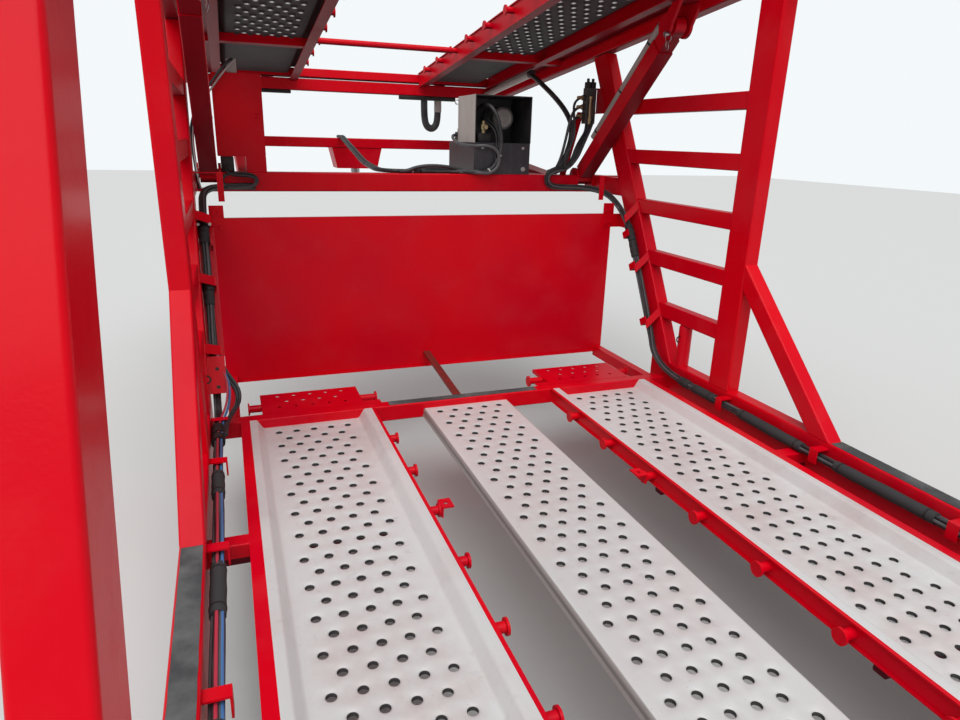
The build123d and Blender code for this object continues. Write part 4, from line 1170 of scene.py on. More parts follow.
@dataclass(frozen=True)
class HoseBundle:
    """A bundle of hoses along a side rail and up a front post, partly in foam sleeves.

    The strands turn about the bundle's line by a slow and a quicker sine, and each strays a little in and out.
    """

    rail: tuple[Point, ...] = (
        (1188, -5930, -982.7), (1190, -5330, -982.7), (1194, -4730, -974.7), (1190, -4130, -982.7),
        (1194, -3530, -974.7), (1192, -3109.8, -975), (1192, -2937.3, -905), (1192, -2890.7, -800),
        (1192, -2780.3, -600), (1192, -2654, -390), (1192, -2562.7, -225), (1192, -2418.6, -100), (1192, -2210, -25),
        (1072, -2051.3, -18), (920, -2051.3, -20))
    fold: tuple[Point, ...] = (
        (868, -2051.3, 4), (868, -2051.3, 62), (925, -2051.3, 92), (1000, -2051.3, 96), (1048, -2051.3, 150),
        (1066, -2051.3, 213), (1112, -2038, 285), (1150, -2020, 325), (1150, -2020, 374.7))
    strands: tuple[Strand, ...] = (
        Strand("a", 0.0070, 0.0125, 10, HOSE), Strand("b", 0.0062, 0.0130, 72, HOSE),
        Strand("c", 0.0065, 0.0127, 135, GREY_HOSE), Strand("d", 0.0068, 0.0125, 205, HOSE),
        Strand("e", 0.0062, 0.0130, 270, GREY_HOSE), Strand("f", 0.0050, 0.0140, 322, HOSE),
        Strand("g", 0.0058, 0.0004, 0, HOSE))
    slow_turn: tuple[float, float] = (0.9, 1.7)
    quick_turn: tuple[float, float] = (0.5, 4.1)
    stray: tuple[float, float] = (0.10, 9.0)
    step: float = 0.025
    ring: int = 8
    left_sleeves: Profile = ((0.10, 0.46), (0.62, 1.08), (1.46, 1.70), (2.13, 2.31), (3.43, 3.50), (3.74, 3.83))
    right_sleeves: Profile = ((0.10, 0.46), (0.62, 1.08), (1.22, 1.66), (1.84, 2.24), (2.43, 2.60), (2.64, 2.72),
                              (3.595, 3.69), (3.696, 3.80))
    sleeve_r: float = 0.0245
    sleeve_step: float = 0.012
    sleeve_ring: int = 14
    tie_inset: float = 0.03
    tie_l: float = 0.006
    tie_rise: float = 0.0004

    def build(self) -> None:
        """Make the strands, sleeves and ties of both sides."""
        for side in Side:
            points = self.rail + self.fold if side is Side.RIGHT else self.rail
            line = Route("bundle", points).path(self.step, side)
            normal, binormal = frames(line)
            place = lengths(line)
            turn = sum(size * np.sin(place * waves) for size, waves in (self.slow_turn, self.quick_turn))
            for strand in self.strands:
                angle = (math.radians(strand.angle) + turn)[:, None]
                stray = 1 + self.stray[0] * np.sin(place * self.stray[1] + strand.angle)
                reach = (strand.distance * stray)[:, None]
                path = line + reach * (np.cos(angle) * normal + np.sin(angle) * binormal)
                node = f"hose_bundle_{side.word}" if strand is self.strands[0] else ""
                Solid(tube(path, strand.radius, self.ring)).piece(
                    f"bundle_{side.word}_{strand.name}", strand.finish, Slot.HOSE, node)
            self.dress_foam(line, side)

    def dress_foam(self, line: np.ndarray, side: Side) -> None:
        """Make the foam sleeves, whose radius swells between the ties at their ends.

        Args:
            line: The bundle's middle line.
            side: The side that it runs on.
        """
        made, ties = Solid(), Solid()
        for start, end in self.right_sleeves if side is Side.RIGHT else self.left_sleeves:
            path = between(line, start, end, self.sleeve_step)
            share = np.linspace(0.0, 1.0, len(path))
            radius = self.sleeve_r * (0.93 + 0.05 * np.sin(share * math.pi) + 0.02 * np.sin(share * 17.0))
            made.add(tube(path, radius, self.sleeve_ring))
            for place in (start + self.tie_inset, end - self.tie_inset):
                ties.add(tube(between(line, place, place + self.tie_l, self.tie_l / 2),
                              self.sleeve_r + self.tie_rise, self.sleeve_ring))
        made.piece(f"foam_sleeves_{side.word}", FOAM, Slot.HOSE)
        ties.piece(f"sleeve_ties_{side.word}", BLACK_STEEL, Slot.HOSE)


@dataclass(frozen=True)
class Cord:
    """One hose or cable beside the bundles: its radius, finish, route and twin's shift, in millimetres."""

    name: str
    radius: float
    finish: Finish
    points: tuple[Point, ...]
    twin: Point | None = None


@dataclass(frozen=True)
class EquipmentHoses:
    """Hoses and cables of the power unit, the manifold, the portal and the left side."""

    cords: tuple[Cord, ...] = (
        Cord("supply_hose", 17, HOSE, (
            (1078, -1100, 707.6), (1078, -1240, 722.6), (1078, -1330, 690), (1078, -1470, 632), (1078, -1670, 546),
            (1078, -1850, 449), (1066, -1965, 360), (1048, -1999, 275), (1022, -2006, 200), (998, -2006, 135),
            (962, -2001, 90), (925, -1998, 75.5), (895, -2012, 73.5))),
        Cord("unit_hose_long", 12, HOSE, (
            (455, -1800, 425), (457, -1900, 462), (470, -1990, 470), (502, -2040, 430), (530, -2048, 350),
            (546, -2048, 260), (540, -2048, 173), (505, -2048, 105), (455, -2050, 70), (395, -2050, 72),
            (330, -2022, 70.5), (250, -1985, 68.5), (140, -1975, 68.5), (50, -1990, 68.5))),
        Cord("unit_hose_side", 10, GREY_HOSE, (
            (430, -1600, 285), (372, -1610, 290), (340, -1700, 262), (338, -1830, 236), (350, -1960, 224),
            (384, -2032, 222), (447, -2058, 228), (510, -2060, 208), (536, -2060, 150), (516, -2062, 92),
            (462, -2064, 60), (400, -2060, 66), (350, -2020, 66.5), (290, -2010, 66.5))),
        Cord("unit_wires", 4.5, HOSE, (
            (470, -1930, 372), (490, -2000, 350), (512, -2038, 300), (520, -2036, 240), (505, -2036, 180),
            (515, -2036, 140)), (14, -4, 10)),
        Cord("beam_arc", 11, HOSE, (
            (380, -2040, 70), (330, -2000, 72), (260, -1990, 92), (120, -1985, 104), (20, -1985, 92),
            (-40, -1992, 68), (-90, -2000, 67.5))),
        Cord("beam_arc_inner", 9, GREY_HOSE, (
            (300, -1950, 65.5), (230, -1952, 80), (120, -1955, 88), (50, -1955, 76), (10, -1955, 65.5),
            (-60, -1950, 65.5))),
        Cord("tractor_hoses", 12, HOSE, (
            (80, -1965, 68.5), (-20, -1970, 68.5), (-95, -1966, 68.5), (-152, -1930, 69), (-180, -1865, 71),
            (-182, -1750, 78), (-173, -1400, 96), (-153, -1000, 146), (-135, -500, 214), (-125, -200, 257),
            (-120, -80, 256.5), (-120, -35, 256.3)), (-26, 0, 0)),
        Cord("portal_loop", 29, HOSE, (
            (545, -270, 590), (545, -270, 500), (549, -270, 420), (560, -270, 370), (588, -270, 340),
            (624, -270, 340), (651, -270, 370), (661, -270, 420), (664, -270, 500), (664, -270, 590))),
        Cord("port_hose_low", 9, HOSE, (
            (893, -2038, 68), (938, -2026, 66), (984, -2026, 90), (1010, -2034, 155), (1022, -2038, 250),
            (1030, -2034, 330), (1036, -2026, 372), (1052, -2021, 402), (1083, -2020, 420), (1102, -2020, 420))),
        Cord("port_hose_mid", 9, GREY_HOSE, (
            (900, -1985, 65.5), (930, -1966, 66), (964, -1972, 90), (988, -1990, 160), (1004, -2008, 270),
            (1016, -2018, 360), (1030, -2021, 424), (1051, -2020, 456), (1083, -2020, 475), (1102, -2020, 475))),
        Cord("port_hose_high", 8, HOSE, (
            (984, -2078, 98), (966, -2076, 150), (990, -2072, 205), (1030, -2066, 262), (1040, -2056, 350),
            (1036, -2038, 430), (1038, -2026, 483), (1056, -2021, 512), (1085, -2020, 530), (1102, -2020, 530))),
        Cord("manifold_return", 10, HOSE, (
            (1020, -2078, 120), (1062, -2078, 165), (1092, -2072, 230), (1128, -2062, 300), (1150, -2060, 350),
            (1168, -2056, 400))),
        Cord("cable_coil", 8, HOSE, (
            (-1150, -2083, -16), (-1060, -2084, -22), (-990, -2084, -26), (-925, -2082, -18), (-900, -2070, 14),
            (-925, -2052, 46), (-1000, -2050, 52), (-1070, -2052, 46), (-1094, -2066, 14), (-1070, -2100, -16),
            (-1000, -2103, -24), (-930, -2100, -14), (-910, -2088, 12), (-930, -2070, 36), (-1000, -2066, 40),
            (-1050, -2062, 44), (-1072, -2045, 80), (-1066, -2010, 115), (-1060, -1990, 138.5))),
        Cord("cabinet_cable_dark", 7, HOSE, (
            (-990, -2010, 632), (-1004, -2034, 625), (-1055, -2040, 570), (-1105, -2040, 506), (-1155, -2040, 440),
            (-1192, -2060, 370), (-1218, -2090, 300), (-1228, -2102, 220), (-1220, -2104, 130), (-1216, -2108, 60),
            (-1212, -2140, 0), (-1205, -2200, -20))),
        Cord("cabinet_cable_pale", 5, PALE_LINE, (
            (-978, -2010, 628), (-992, -2036, 614), (-1043, -2044, 558), (-1093, -2044, 494), (-1143, -2044, 428),
            (-1180, -2064, 358), (-1206, -2096, 300), (-1216, -2116, 220), (-1214, -2122, 130), (-1210, -2128, 60),
            (-1206, -2160, 4), (-1199, -2200, -12))),
        Cord("bypass_hoses", 8, HOSE, (
            (-1172, -3300, -966), (-1165, -3165, -958), (-1134, -3085, -945), (-1108, -3030, -925),
            (-1104, -2985, -885), (-1128, -2955, -845), (-1160, -2925, -800), (-1176, -2900, -760)), (12, 2, 9)),
        Cord("blue_air_line", 5, BLUE_LINE, (
            *AIR_LINE_RUN, (-1172, -3140, -955), (-1144, -3060, -920), (-1134, -2995, -875), (-1138, -2960, -825),
            (-1168, -2905, -752), (-1176, -2880, -720))),
        Cord("red_air_line", 5, RED_LINE, (
            *((x - 14, y, z + 5) for x, y, z in AIR_LINE_RUN), (-1184, -3140, -950), (-1154, -3070, -912),
            (-1142, -3003, -862), (-1146, -2964, -815), (-1174, -2906, -750), (-1182, -2882, -715))))
    step: float = 0.016

    def build(self) -> None:
        """Make each cord, and its twin beside it where it has one."""
        for cord in self.cords:
            path = Route(cord.name, cord.points).path(self.step)
            made = Solid(tube(path, cord.radius / MM_PER_M))
            if cord.twin:
                made.add(tube(path + np.array(cord.twin) / MM_PER_M, cord.radius / MM_PER_M))
            made.piece(cord.name, cord.finish, Slot.HOSE)


@dataclass(frozen=True)
class HosePorts:
    """Rigid ends of the hoses: conduit, sleeves, clamps and fittings."""

    conduit_start: Point = (1.078, -0.312, 0.6232)
    conduit_end: Point = (1.078, -1.230, 0.7214)
    conduit_r: float = 0.024
    cap_l: float = 0.045
    loop_sleeve_at: Point = (0.664, -0.270, 0.470)
    loop_sleeve: Profile = ((0, 0.0285), (0.004, 0.0305), (0.116, 0.0305), (0.120, 0.0295))
    port_x: float = 1.0992
    port_y: float = -2.020
    port_zs: tuple[float, ...] = (0.420, 0.475, 0.530)
    port_nut: Profile = ((0.0, 0.0135), (0.012, 0.0135), (0.0135, 0.0110), (0.034, 0.0110), (0.036, 0.0095))
    tie_l: float = 0.008
    tie_places: tuple[tuple[Point, Point, float], ...] = (
        ((0.470, -2.0495, 0.0770), (0.80, 0.0, 0.58), 0.0185), ((0.536, -2.0480, 0.170), (0.2, 0.0, 1.0), 0.0145),
        ((0.0, -1.971, 0.0685), (1.0, 0.0, 0.0), 0.0140), ((-1.120, -2.083, -0.019), (1.0, 0.0, 0.0), 0.0110))

    def build(self) -> None:
        """Make the conduit with its cap, the loop's sleeve, the port fittings and the ties."""
        axis = np.array(self.conduit_end) - np.array(self.conduit_start)
        length, r = float(np.linalg.norm(axis)), self.conduit_r
        cap = ((length - 0.002, r + 0.0008), (length, r + 0.0028), (length + self.cap_l * 0.8, r + 0.0028),
               (length + self.cap_l, r - 0.004))
        Solid(turned(((0, r), (length, r)), self.conduit_start, axis)).piece("supply_conduit", PIPE, Slot.PIPE)
        Solid(turned(cap, self.conduit_start, axis)).piece("conduit_cap", BLACK_STEEL, Slot.HOSE)
        Solid(turned(self.loop_sleeve, self.loop_sleeve_at, UP)).piece("loop_sleeve", PIPE, Slot.PIPE)
        Solid(*[turned(self.port_nut, (self.port_x, self.port_y, z), LEFT, 6) for z in self.port_zs]).piece(
            "port_nuts", BRASS, Slot.STEEL)
        half = self.tie_l / 2
        Solid(*[turned(((-half, radius), (half, radius)), place, along, 14)
                for place, along, radius in self.tie_places]).piece("hose_ties", PALE_LINE, Slot.HOSE)


@dataclass(frozen=True)
class PowerUnit:
    """Motor, valves and fittings of the power unit. The turned pieces are profiles of (height, radius)."""

    motor: Point = (0.608, -1.702, 0.392)
    motor_r: float = 0.072
    motor_l: float = 0.210
    motor_steps: int = 40
    rib_count: int = 9
    rib_pitch: float = 0.016
    first_rib: float = 0.020
    rib: Profile = ((0.0, 0.0), (0.002, -0.005), (0.008, -0.005), (0.010, 0.0))
    face_r: float = 0.054
    face: Profile = ((-0.001, 0.046), (-0.004, 0.044), (-0.004, 0.026), (-0.001, 0.024), (0.0, 0.010))
    valve: Point = (0.467, -1.935, 0.300)
    valve_body: Profile = ((0, 0.015), (0.018, 0.015), (0.020, 0.022), (0.050, 0.022), (0.052, 0.012), (0.072, 0.012))
    valve_port: Profile = ((0, 0.010), (0.030, 0.010), (0.032, 0.014), (0.046, 0.014))
    port_rise: float = 0.035
    rear_block: tuple[Point, Point] = ((0.400, -1.668, 0.2445), (0.480, -1.560, 0.306))
    valve_block: tuple[Point, Point] = ((0.422, -1.955, 0.2445), (0.512, -1.845, 0.300))
    studs: tuple[Point, ...] = ((0.415, -1.614, 0.305), (0.440, -1.614, 0.305), (0.465, -1.614, 0.305))
    stud: Profile = ((0, 0.013), (0.020, 0.013), (0.024, 0.009), (0.034, 0.009))
    filler: Point = (0.690, -1.600, 0.244)
    filler_cap: Profile = ((0, 0.024), (0.010, 0.024), (0.012, 0.028), (0.030, 0.028), (0.034, 0.024))
    drain: Point = (0.705, -2.026, 0.088)
    drain_plug: Profile = ((0, 0.016), (0.006, 0.016), (0.007, 0.011), (0.014, 0.011))
    screws: tuple[Point, ...] = ((0.700, -2.026, 0.215), (0.430, -2.026, 0.215))
    screw: Profile = ((0, 0.009), (0.004, 0.009))
    eye: Point = (0.366, -1.706, 0.486)
    eye_r: float = 0.013
    eye_wire: float = 0.0035

    def build(self) -> None:
        """Make the motor's ribbed body, its pale face, the valves and the tank's fittings."""
        r, length = self.motor_r, self.motor_l
        ribs = [(self.first_rib + self.rib_pitch * k + height, r + out)
                for k in range(self.rib_count) for height, out in self.rib]
        body = [(0.0, r), *ribs, (length - 0.014, r), (length - 0.006, r - 0.006), (length - 0.006, self.face_r)]
        face = [(length - 0.008, self.face_r), (length - 0.001, self.face_r),
                *((length + height, radius) for height, radius in self.face)]
        Solid(turned(body, self.motor, BACK, self.motor_steps)).piece(
            "motor_body", MOTOR, Slot.MOTOR, "power_unit_motor")
        Solid(turned(face, self.motor, BACK, self.motor_steps)).piece("motor_face", FACE, Slot.MOTOR)
        x, y, z = self.valve
        Solid(turned(self.valve_body, self.valve, UP, 6),
              turned(self.valve_port, (x, y, z + self.port_rise), BACK, 6)).piece("unit_valve", BRASS, Slot.STEEL)
        Solid(rounded_block(*self.rear_block, 0.006), rounded_block(*self.valve_block, 0.005),
              *[turned(self.stud, place, UP, 12) for place in self.studs],
              turned(self.filler_cap, self.filler, UP)).piece("unit_blocks", BLACK_STEEL, Slot.MOTOR)
        Solid(turned(self.drain_plug, self.drain, BACK, 6),
              *[turned(self.screw, place, BACK, 16) for place in self.screws],
              wire_ring(self.eye, FRONT, self.eye_r, self.eye_wire)).piece("unit_plugs", STEEL, Slot.STEEL)


@dataclass(frozen=True)
class ArmPipes:
    """The grey pipes that lie along the lift arms, with their ties and saddles."""

    pivot: tuple[float, float] = (-1.980, 0.046)
    eye: tuple[float, float] = (-2.870, 0.836)
    x: float = 1.132
    start: float = 0.290
    end: float = 1.130
    radius: float = 0.022
    wall: float = 0.003
    bore_l: float = 0.02
    bore_end_r: float = 0.0005
    arm_face: float = 0.0475
    rise: float = 0.0735
    ties: tuple[float, ...] = (0.350, 0.680, 1.020)
    tie_half_l: float = 0.006
    tie_rise: float = 0.0012
    saddle: Profile = ((-0.012, -0.01), (0.012, -0.01), (0.012, 0.01), (-0.012, 0.01))

    def place(self, along: float, out: float) -> np.ndarray:
        """Y and Z of a point at a distance along the arm and out of its upper face's side.

        Args:
            along: Distance from the arm's pin.
            out: Distance from the arm's middle line.

        Returns:
            The two coordinates.
        """
        way = np.array(self.eye) - np.array(self.pivot)
        way /= np.linalg.norm(way)
        return np.array(self.pivot) + along * way + out * np.array([way[1], -way[0]])

    def build(self) -> None:
        """Make the pipes of both arms."""
        way = (0, *(self.place(1.0, 0.0) - self.place(0.0, 0.0)))
        r, length, blind = self.radius, self.end - self.start, self.bore_end_r
        bore = r - self.wall
        pipe = turned([(self.bore_l, blind), (self.bore_l, bore), (0, bore), (0, r), (length, r), (length, bore),
                       (length - self.bore_l, bore), (length - self.bore_l, blind)],
                      (self.x, *self.place(self.start, self.rise)), way, 28)
        Solid(pipe).pair("conduit", PIPE, Slot.PIPE, "arm_pipe", None)
        ties = Solid()
        for tie in self.ties:
            ties.add(turned([(end, r + self.tie_rise) for end in (-self.tie_half_l, self.tie_half_l)],
                            (self.x, *self.place(tie, self.rise)), way, 28))
            ties.add(loft(np.array([[(self.x + dx, *self.place(tie + along, out)) for dx, along in self.saddle]
                                    for out in (self.arm_face - 0.001, self.rise - r + 0.004)])))
        ties.pair("conduit_ties", BLACK_STEEL, Slot.HOSE, body=None)


@dataclass(frozen=True)
class PostFittings:
    """Straps over the hose bundles on the front posts, and the left post's clip plates and clamps.

    A place is a distance along the post and one out of its rear face's side, both from a point on the
    bundle's middle line.
    """

    lean: float = math.radians(30)
    base: tuple[float, float] = (-2.6966, -0.450)
    inner_x: float = 1.156
    edge_x: float = 1.2235
    foot_x: float = 1.250
    width: float = 0.046
    sheet: float = 0.004
    inner_out: float = 0.012
    post_out: float = 0.0760
    straps: tuple[float, ...] = (-0.312, 0.029, 0.345)
    slant: float = 0.030
    clamps: Profile = ((2.600, 2.650), (2.670, 2.745), (3.500, 3.550), (3.835, 3.895))
    clamp_r: float = 0.0285
    clamp_step: float = 0.01
    saddle: tuple[Point, Point] = ((-1.2213, -3.168, -0.9430), (-1.150, -3.138, -0.9370))
    plate_x: tuple[float, float] = (1.146, 1.2213)
    back_plate: Point = (-0.327, 0.325, -0.0470)
    front_plate: Point = (-0.520, -0.345, 0.0440)
    plugs: tuple[float, ...] = (-0.405, -0.490)
    plug_x: float = -1.182
    plug: Profile = ((0.0, 0.0085), (0.002, 0.0075), (0.002, 0.0055), (0.0005, 0.0045))
    head_xs: tuple[float, float] = (-1.163, -1.216)
    head: Profile = ((0, 0.0075), (0.004, 0.0075), (0.006, 0.004))
    head_drop: float = 0.012
    head_out: float = 0.038

    def point(self, x: float, along: float, out: float) -> Point:
        """The point at an x, a distance along the post and a distance out of its rear face's side.

        Args:
            x: The point's x.
            along: Distance along the post.
            out: Distance out of its rear face's side.

        Returns:
            The point.
        """
        y, z = self.base
        return (x, y + along * math.sin(self.lean) - out * math.cos(self.lean),
                z + along * math.cos(self.lean) + out * math.sin(self.lean))

    def strip(self, stations: Iterable[tuple[float, float, float, float]]) -> np.ndarray:
        """A bent strip of sheet through stations.

        Args:
            stations: At each station its x, its two edges along the post and its lower face's distance out.

        Returns:
            Quads of the closed strip.
        """
        return loft(np.array([[self.point(x, low, out), self.point(x, high, out),
                               self.point(x, high, out + self.sheet), self.point(x, low, out + self.sheet)]
                              for x, low, high, out in stations]))

    def build(self) -> None:
        """Make the straps of both posts, then the left post's plates, plugs and clamps."""
        half = self.width / 2
        for side, slant in ((Side.LEFT, 0.0), (Side.RIGHT, self.slant)):
            made = Solid()
            for place in self.straps:
                made.add(mirrored(self.strip(
                    (x, place + shift - half, place + shift + half, out)
                    for x, shift, out in ((self.inner_x, -slant, self.inner_out), (self.edge_x, slant, self.post_out),
                                          (self.foot_x, slant, self.post_out))), side))
            made.piece(f"post_straps_{side.word}", RED, Slot.RED)
        plates = Solid(rounded_block(*self.saddle, 0.002))
        for low, high, out in (self.back_plate, self.front_plate):
            plates.add(mirrored(self.strip((x, low, high, out) for x in self.plate_x), Side.LEFT))
        plates.piece("clip_plates_left", RED, Slot.RED)
        outward = (0.0, -math.cos(self.lean), math.sin(self.lean))
        top = self.front_plate[2] + self.sheet
        line = Route("bundle", HoseBundle().rail).line(Side.LEFT)
        plugs = [turned(self.plug, self.point(self.plug_x, place, top), outward, 20) for place in self.plugs]
        clamps = [tube(between(line, start, end, self.clamp_step), self.clamp_r, 20) for start, end in self.clamps]
        Solid(*plugs, *clamps).piece("post_clamps_left", BLACK_STEEL, Slot.HOSE)
        Solid(*[turned(self.head, self.point(x, self.straps[-1] - half - self.head_drop, self.head_out), outward, 14)
                for x in self.head_xs]).piece("clamp_heads_left", PALE_LINE, Slot.STEEL)


@dataclass(frozen=True)
class SmallParts:
    """Cabinet door, gusset, bolts, pin rings and other small fittings."""

    door: Profile = ((-1.093, 0.148), (-0.860, 0.148), (-0.860, 0.554), (-1.030, 0.554), (-1.093, 0.484))
    door_y: tuple[float, float] = (-2.0235, -2.0208)
    latch_at: Point = (-0.884, -2.0235, 0.350)
    latch: Profile = ((0, 0.012), (0.004, 0.012), (0.006, 0.008), (0.010, 0.008))
    foot_block: tuple[Point, Point] = ((-1.089, -2.028, 0.0562), (-1.021, -1.940, 0.1375))
    portal_blocks: tuple[tuple[Point, Point], ...] = (((-0.850, -0.305, 0.566), (-0.535, -0.255, 0.5915)),
                                                      ((0.330, -0.305, 0.560), (0.810, -0.255, 0.5915)))
    cable_bracket: tuple[Point, Point] = ((-1.020, -2.012, 0.5635), (-0.970, -1.996, 0.636))
    gusset_foot: Point = (1.006, -1.950, 0.0562)
    gusset_top: Point = (1.090, -1.985, 0.445)
    gusset_w: float = 0.044
    gusset_t: float = 0.006
    coil_xs: tuple[float, float] = (1.132, 1.166)
    coil_half_w: float = 0.014
    coil_y: tuple[float, float, float] = (-2.042, -2.021, -2.000)
    coil_z: tuple[float, float] = (0.5875, 0.624)
    coil_cap: Profile = ((0, 0.009), (0.020, 0.009), (0.022, 0.006))
    pipe_at: Point = (1.137, -2.058, 0.372)
    pipe: Profile = ((0, 0.010), (0.020, 0.010), (0.021, 0.013), (0.034, 0.013), (0.035, 0.0085), (0.150, 0.0085),
                     (0.151, 0.013), (0.165, 0.013))
    bolts: tuple[Point, ...] = ((1.116, -2.402, -0.130), (1.148, -2.402, -0.130), (1.116, -2.402, -0.205),
                                (1.148, -2.402, -0.205))
    bolt: Profile = ((0, 0.016), (0.0025, 0.016), (0.003, 0.0105), (0.009, 0.0105))
    pin_at: Point = (1.090, -1.980, 0.046)
    pin_head: Profile = ((0, 0.030), (0.006, 0.030), (0.010, 0.024), (0.011, 0.010), (0.018, 0.010))
    hook_at: Point = (1.2235, -3.115, -0.766)
    hook_r: float = 0.017
    hook_wire: float = 0.0035
    safety_rings: tuple[tuple[Point, Point], ...] = (((1.084, -2.921, 0.772), (1, 0.2, 0.1)),
                                                     ((1.086, -2.914, 0.738), (1, -0.3, 0.2)))
    safety_r: float = 0.0195
    safety_wire: float = 0.0016
    knob_at: Point = (1.080, -2.905, 0.792)
    knob: Profile = ((-0.012, 0.011), (-0.010, 0.013), (0.0, 0.013), (0.002, 0.008), (0.014, 0.005))

    def build(self) -> None:
        """Make the small parts."""
        Solid(loft(np.array([[(x, y, z) for x, z in self.door] for y in self.door_y])),
              turned(self.latch, self.latch_at, BACK, 20)).piece("cabinet_door", RED, Slot.RED)
        Solid(rounded_block(*self.foot_block, 0.006), *[rounded_block(*block, 0.005) for block in self.portal_blocks]
              ).piece("black_blocks", BLACK_STEEL, Slot.MOTOR)
        Solid(rounded_block(*self.cable_bracket, 0.003)).piece("cable_bracket", PIPE, Slot.PIPE)
        w, t = self.gusset_w, self.gusset_t
        Solid(loft(np.array([[(x + dx, y + dy, z) for dx, dy in ((0, 0), (w, 0), (w, t), (0, t))]
                             for x, y, z in (self.gusset_foot, self.gusset_top)]))).piece(
            "manifold_gusset", RED, Slot.RED)
        coils = Solid()
        (near, middle, far), (low, high) = self.coil_y, self.coil_z
        for x in self.coil_xs:
            coils.add(rounded_block((x - self.coil_half_w, near, low), (x + self.coil_half_w, far, high), 0.004),
                      turned(self.coil_cap, (x, middle, high - 0.001), UP, 16))
        coils.piece("manifold_coils", BLACK_STEEL, Slot.MOTOR)
        Solid(turned(self.pipe, self.pipe_at, UP, 12)).piece("manifold_pipe", BRASS, Slot.STEEL)
        Solid(*[turned(self.bolt, place, BACK, 6) for place in self.bolts],
              turned(self.pin_head, self.pin_at, LEFT)).pair("bracket_bolts", RED, Slot.RED)
        Solid(wire_ring(self.hook_at, FRONT, self.hook_r, self.hook_wire)).pair("lock_hook", BLACK_STEEL, Slot.STEEL)
        Solid(*[wire_ring(place, axis, self.safety_r, self.safety_wire) for place, axis in self.safety_rings],
              turned(self.knob, self.knob_at, RIGHT, 14)).pair("safety_rings", STEEL, Slot.STEEL, body=Body.DECK)


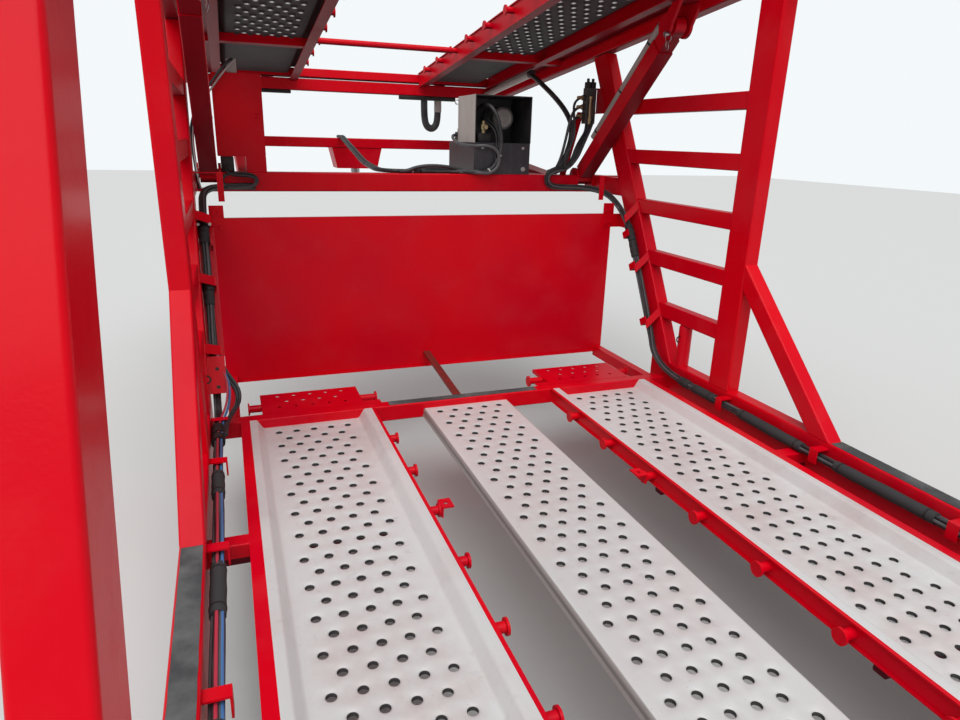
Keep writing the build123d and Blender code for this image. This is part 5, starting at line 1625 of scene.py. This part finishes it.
@dataclass(frozen=True)
class Studio:
    """Camera at the photograph's viewing angle, floor, backdrop colour and soft light."""

    yaw: float = 20.454
    pitch: float = 17.979
    roll: float = -1.560
    eye: Point = (-1.0792, -6.130, 0.2593)
    focal_px: float = 678.3
    image_w: int = 960
    sensor_mm: float = 36.0
    floor_drop: float = 0.34
    floor_size: float = 60.0
    floor_colour: Colour = (0.58, 0.58, 0.57)
    backdrop: Colour = (0.90, 0.94, 0.96)
    ambient: float = 0.48
    lamp_energy: float = 2.9
    lamp_angle: float = math.radians(70)
    lamp_turn: Point = (math.radians(28), math.radians(-14), 0.0)
    far_clip: float = 200.0

    def camera(self) -> None:
        """Place the camera from its yaw, pitch and roll."""
        yaw, pitch, roll = (math.radians(v) for v in (self.yaw, self.pitch, self.roll))
        ahead = Vector((math.sin(yaw) * math.cos(pitch), math.cos(yaw) * math.cos(pitch), -math.sin(pitch)))
        right = Vector((math.cos(yaw), -math.sin(yaw), 0.0))
        down = ahead.cross(right)
        x_axis = math.cos(roll) * right + math.sin(roll) * down
        y_axis = math.sin(roll) * right - math.cos(roll) * down
        made = bpy.data.objects.new("photo_camera", bpy.data.cameras.new("photo_camera"))
        made.data.sensor_width = self.sensor_mm
        made.data.lens = self.focal_px / self.image_w * self.sensor_mm
        made.data.clip_end = self.far_clip
        turn = Matrix((x_axis, y_axis, -ahead)).transposed()
        made.matrix_world = Matrix.Translation(self.eye) @ turn.to_4x4()
        bpy.context.scene.collection.objects.link(made)
        bpy.context.scene.camera = made

    def floor(self) -> None:
        """Lay the plain pale floor below the object."""
        mesh = bpy.data.meshes.new("floor")
        half = self.floor_size / 2
        level = CAD_BOX[0][2] - self.floor_drop
        mesh.from_pydata([(-half, -half, level), (half, -half, level), (half, half, level), (-half, half, level)],
                         [], [(0, 1, 2, 3)])
        graph = Graph("Floor")
        graph.set("Base Color", self.floor_colour)
        graph.set("Roughness", 0.95)
        mesh.materials.append(graph.material)
        made = bpy.data.objects.new("floor", mesh)
        bpy.context.scene.collection.objects.link(made)

    def light(self) -> None:
        """Dim even light from the world, which the camera alone sees bright, and one wide lamp from above."""
        world = bpy.data.worlds.new("Overcast")
        world.use_nodes = True
        bpy.context.scene.world = world
        tree = world.node_tree
        background = tree.nodes["Background"]
        background.inputs["Color"].default_value = (*self.backdrop, 1.0)
        rays = tree.nodes.new("ShaderNodeLightPath")
        strength = tree.nodes.new("ShaderNodeMapRange")
        strength.inputs["To Min"].default_value = self.ambient
        tree.links.new(rays.outputs["Is Camera Ray"], strength.inputs["Value"])
        tree.links.new(strength.outputs["Result"], background.inputs["Strength"])
        lamp = bpy.data.lights.new("sky_panel", "SUN")
        lamp.angle = self.lamp_angle
        lamp.energy = self.lamp_energy
        made = bpy.data.objects.new("sky_panel", lamp)
        made.rotation_euler = self.lamp_turn
        bpy.context.scene.collection.objects.link(made)
        bpy.context.scene.view_settings.view_transform = "Standard"

    def build(self) -> None:
        """Set the camera, the floor and the light."""
        self.camera()
        self.floor()
        self.light()


@dataclass(frozen=True)
class PaintedNodes:
    """Finishes of the frame's own nodes, by their slot, with a few that differ."""

    by_slot: tuple[tuple[Slot, Finish], ...] = (
        (Slot.RED, RED), (Slot.ALUMINIUM, SHEET), (Slot.HOSE, HOSE), (Slot.STEEL, STEEL), (Slot.PIPE, PIPE),
        (Slot.DARK_GREY, TANK), (Slot.MOTOR, MOTOR),
        (Slot.LIGHT_GREY, TwoFacedPanel("Weathered housing", (0.022, 0.022, 0.024), 0.4, pale_below_x=0.378)))
    by_node: tuple[tuple[str, Finish], ...] = (("outriggers", OUTRIGGER_RED), ("front_stringers", STRUT_RED))

    def build(self) -> None:
        """Give every node that stays its finish."""
        finishes = {slot.value: finish for slot, finish in self.by_slot}
        apart = dict(self.by_node)
        slots = {row["node"]: row["material_slot"] for row in frame["record"]["subparts"]}
        for name, node in frame["nodes"].items():
            node.data.materials.clear()
            node.data.materials.append(apart.get(name, finishes[slots[name]]).material())
        log.info("%d nodes painted", len(frame["nodes"]))


def main() -> None:
    """Build every sub-assembly in order."""
    logging.basicConfig(level=logging.INFO, format="%(message)s")
    for part in (Studio(), PaintedNodes(), WheelTracks(), GripStrips(), HoseBundle(), EquipmentHoses(),
                 HosePorts(), PowerUnit(), ArmPipes(), PostFittings(), SmallParts()):
        part.build()
        log.info("%s done", type(part).__name__)


if __name__ == "__main__":
    main()
